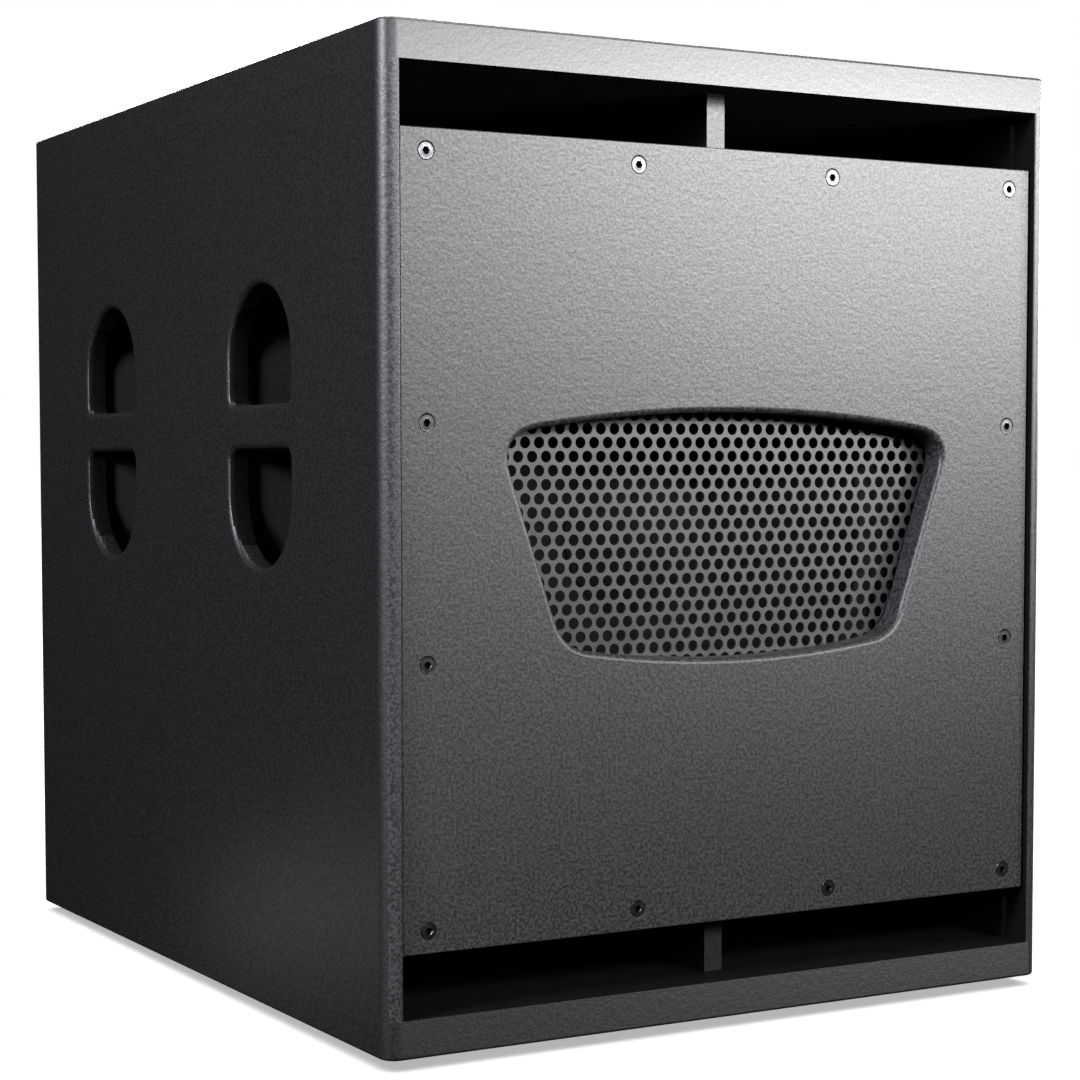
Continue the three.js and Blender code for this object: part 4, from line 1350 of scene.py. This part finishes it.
def lid_lamps():
    """Lamps for the top board alone, whose front edge is the brightest part."""
    edge, corner = (0.05, FRONT, TOP), (-0.2, FRONT, TOP)
    return [
        area_lamp("lid_strip", (1.1, -1.9, 0.64), edge, STRIP, 138),
        area_lamp("lid_strip_left", (0.2, -1.9, 0.64), corner, STRIP, 17),
        area_lamp("lid_strip_corner", (-0.7, -1.9, 0.64), corner, STRIP, 20),
        soft_box("lid_top_strip", 30, 58, (0, FRONT, TOP), (1.6, 0.4), 75),
    ]


def all_round_lamps():
    """Lamps for the whole cabinet, beside, above and behind it."""
    left_edge, low_corner = (LEFT, FRONT, 0.66), (LEFT, FRONT, 0.05)
    glow_place = (LEFT - 0.23, FRONT + 0.45, 0.02)
    return [
        soft_box("side_strip", -98, 18, left_edge, (0.5, 0.9), 18, COOL),
        soft_box("rear_box", 150, 30, (0, REAR, 0.4), (2.0, 1.4), 320),
        soft_box("left_fill", -76, 18, left_edge, (0.6, 0.7), 140, COOL),
        soft_box("overhead_box", 180, 85, (0, 0, TOP), (1.6, 1.6), 90),
        soft_box("right_strip", 60, 8, (0.2, FRONT, 0.50), (0.3, 0.9), 22),
        spot_lamp("right_edge", (2.6, -1.2, 1.1), (RIGHT, FRONT, 0.70), 210, 17),
        soft_box("right_rim", 112, 6, (RIGHT, FRONT, 0.64), (0.5, 0.4), 72),
        area_lamp("corner_glow", glow_place, low_corner, (0.2, 0.1), 0.05, COOL),
    ]


def set_studio():
    set_world()
    floor = add_floor()
    pieces = [piece for piece in bpy.data.objects if piece.type == "MESH" and piece is not floor]
    lid, base = bpy.data.objects["lid_top"], bpy.data.objects["lid_bottom"]
    lights_only(front_lamps(), [piece for piece in pieces if piece is not lid], "below_the_lid")
    lights_only(lid_lamps(), [lid], "lid_only")
    foot_edge = (0.1, FRONT, 0.03)
    lights_only([area_lamp("base_strip", (1.1, -1.7, 0.12), foot_edge, STRIP, 10)], [base], "base_only")
    lights_only(all_round_lamps(), pieces, "whole_cabinet")
    fill_light = sky_light("floor_fill", 3.8)  # the cabinet casts no shadow from this one
    lights_only([sky_light("floor_sun", 2.2), fill_light], [floor], "floor_only")
    fill_light.light_linking.blocker_collection = bpy.data.collections["floor_only"]


def build():
    set_camera()
    shell_colours = (0.002, 0.0017, 0.0019), (0.012, 0.0105, 0.0115)
    paint = spatter_paint("spatter_paint", *shell_colours)
    # A lighter copy of the cabinet paint for the front panel and front-facing lips: painted light on the lit
    # front.
    front_paint = spatter_paint("front_spatter_painted_light", grey(0.001), grey(0.034, 0.036))
    lid_paint = spatter_paint("lid_paint", *shell_colours, 0.45)
    # A darker copy of the cabinet paint for the port dividers: painted shade.
    divider_painted_shade = spatter_paint("divider_painted_shade", grey(0.001), grey(0.009, 0.0095))
    inner = inner_paint("inside_paint", grey(0.004), grey(0.009, 0.0095))
    steel = plated_steel("dark_zinc", grey(0.085, 0.088), grey(0.055, 0.058))
    black_bolts = plated_steel("blackened_steel", grey(0.10), grey(0.05))
    # Near-black paint for the faces inside the ports: painted shade.
    ports_painted_shade = inner_paint("ports_painted_shade", grey(0.001), grey(0.004, 0.0042), 0.08)
    build_box(paint, lid_paint, front_paint, ports_painted_shade)
    # The last material is painted shade for the inside of the screw sockets.
    build_front(front_paint, powder_coat(), steel, socket_painted_shade())
    build_driver(
        {
            "cast": cast_metal(),
            "paper": paper(),
            "bolts": black_bolts,
            "cloth": woven("doped_cloth", grey(0.008), grey(0.03), 0.9, 0.5),
            "spider": woven("spider_weave", (0.30, 0.17, 0.05), (0.55, 0.36, 0.14), 1.1, 0.2),
        }
    )
    carry_over(inner, 1.0, "driver_baffle")
    # The front frame and port shelves get the near-black paint: painted shade.
    carry_over(ports_painted_shade, 1.0, "front_frame", "port_shelf_upper", "port_shelf_lower")
    # A lighter copy of the inside paint for the hand-hole cups: painted light inside the shaded holes.
    build_grips(inner_paint("grip_paint_painted_light", grey(0.006), grey(0.016, 0.017)))
    # The port dividers get the darker paint copy: painted shade.
    carry_over(divider_painted_shade, 1.5, "port_divider_upper", "port_divider_lower")
    carry_over(paint, 1.5, "back_panel")
    carry_over(plywood(), 1.0, "cross_brace")
    carry_over(foam(), 0.0, "grille_gasket", "driver_gasket")
    dish = moulded("dish_plastic", grey(0.010, 0.011), grey(0.018, 0.019))
    carry_over(dish, 1.0, "terminal_block")
    socket = moulded("socket_plastic", grey(0.014, 0.016), grey(0.024, 0.027), (0.3, 0.42), 900, 0.05)
    build_rear(dish, socket, black_bolts)
    rubber = moulded("foot_rubber", grey(0.010), grey(0.020), (0.7, 0.85), 400, 0.3)
    build_feet(rubber, black_bolts)
    carry_over(moulded("red_sleeve", (0.30, 0.02, 0.02), (0.42, 0.04, 0.035)), 0.0, "lead_positive")
    carry_over(moulded("black_sleeve", grey(0.010), grey(0.02)), 0.0, "lead_negative")
    build_motor(plated_steel("motor_plate", grey(0.16, 0.17), grey(0.09, 0.10)))
    set_studio()


build()
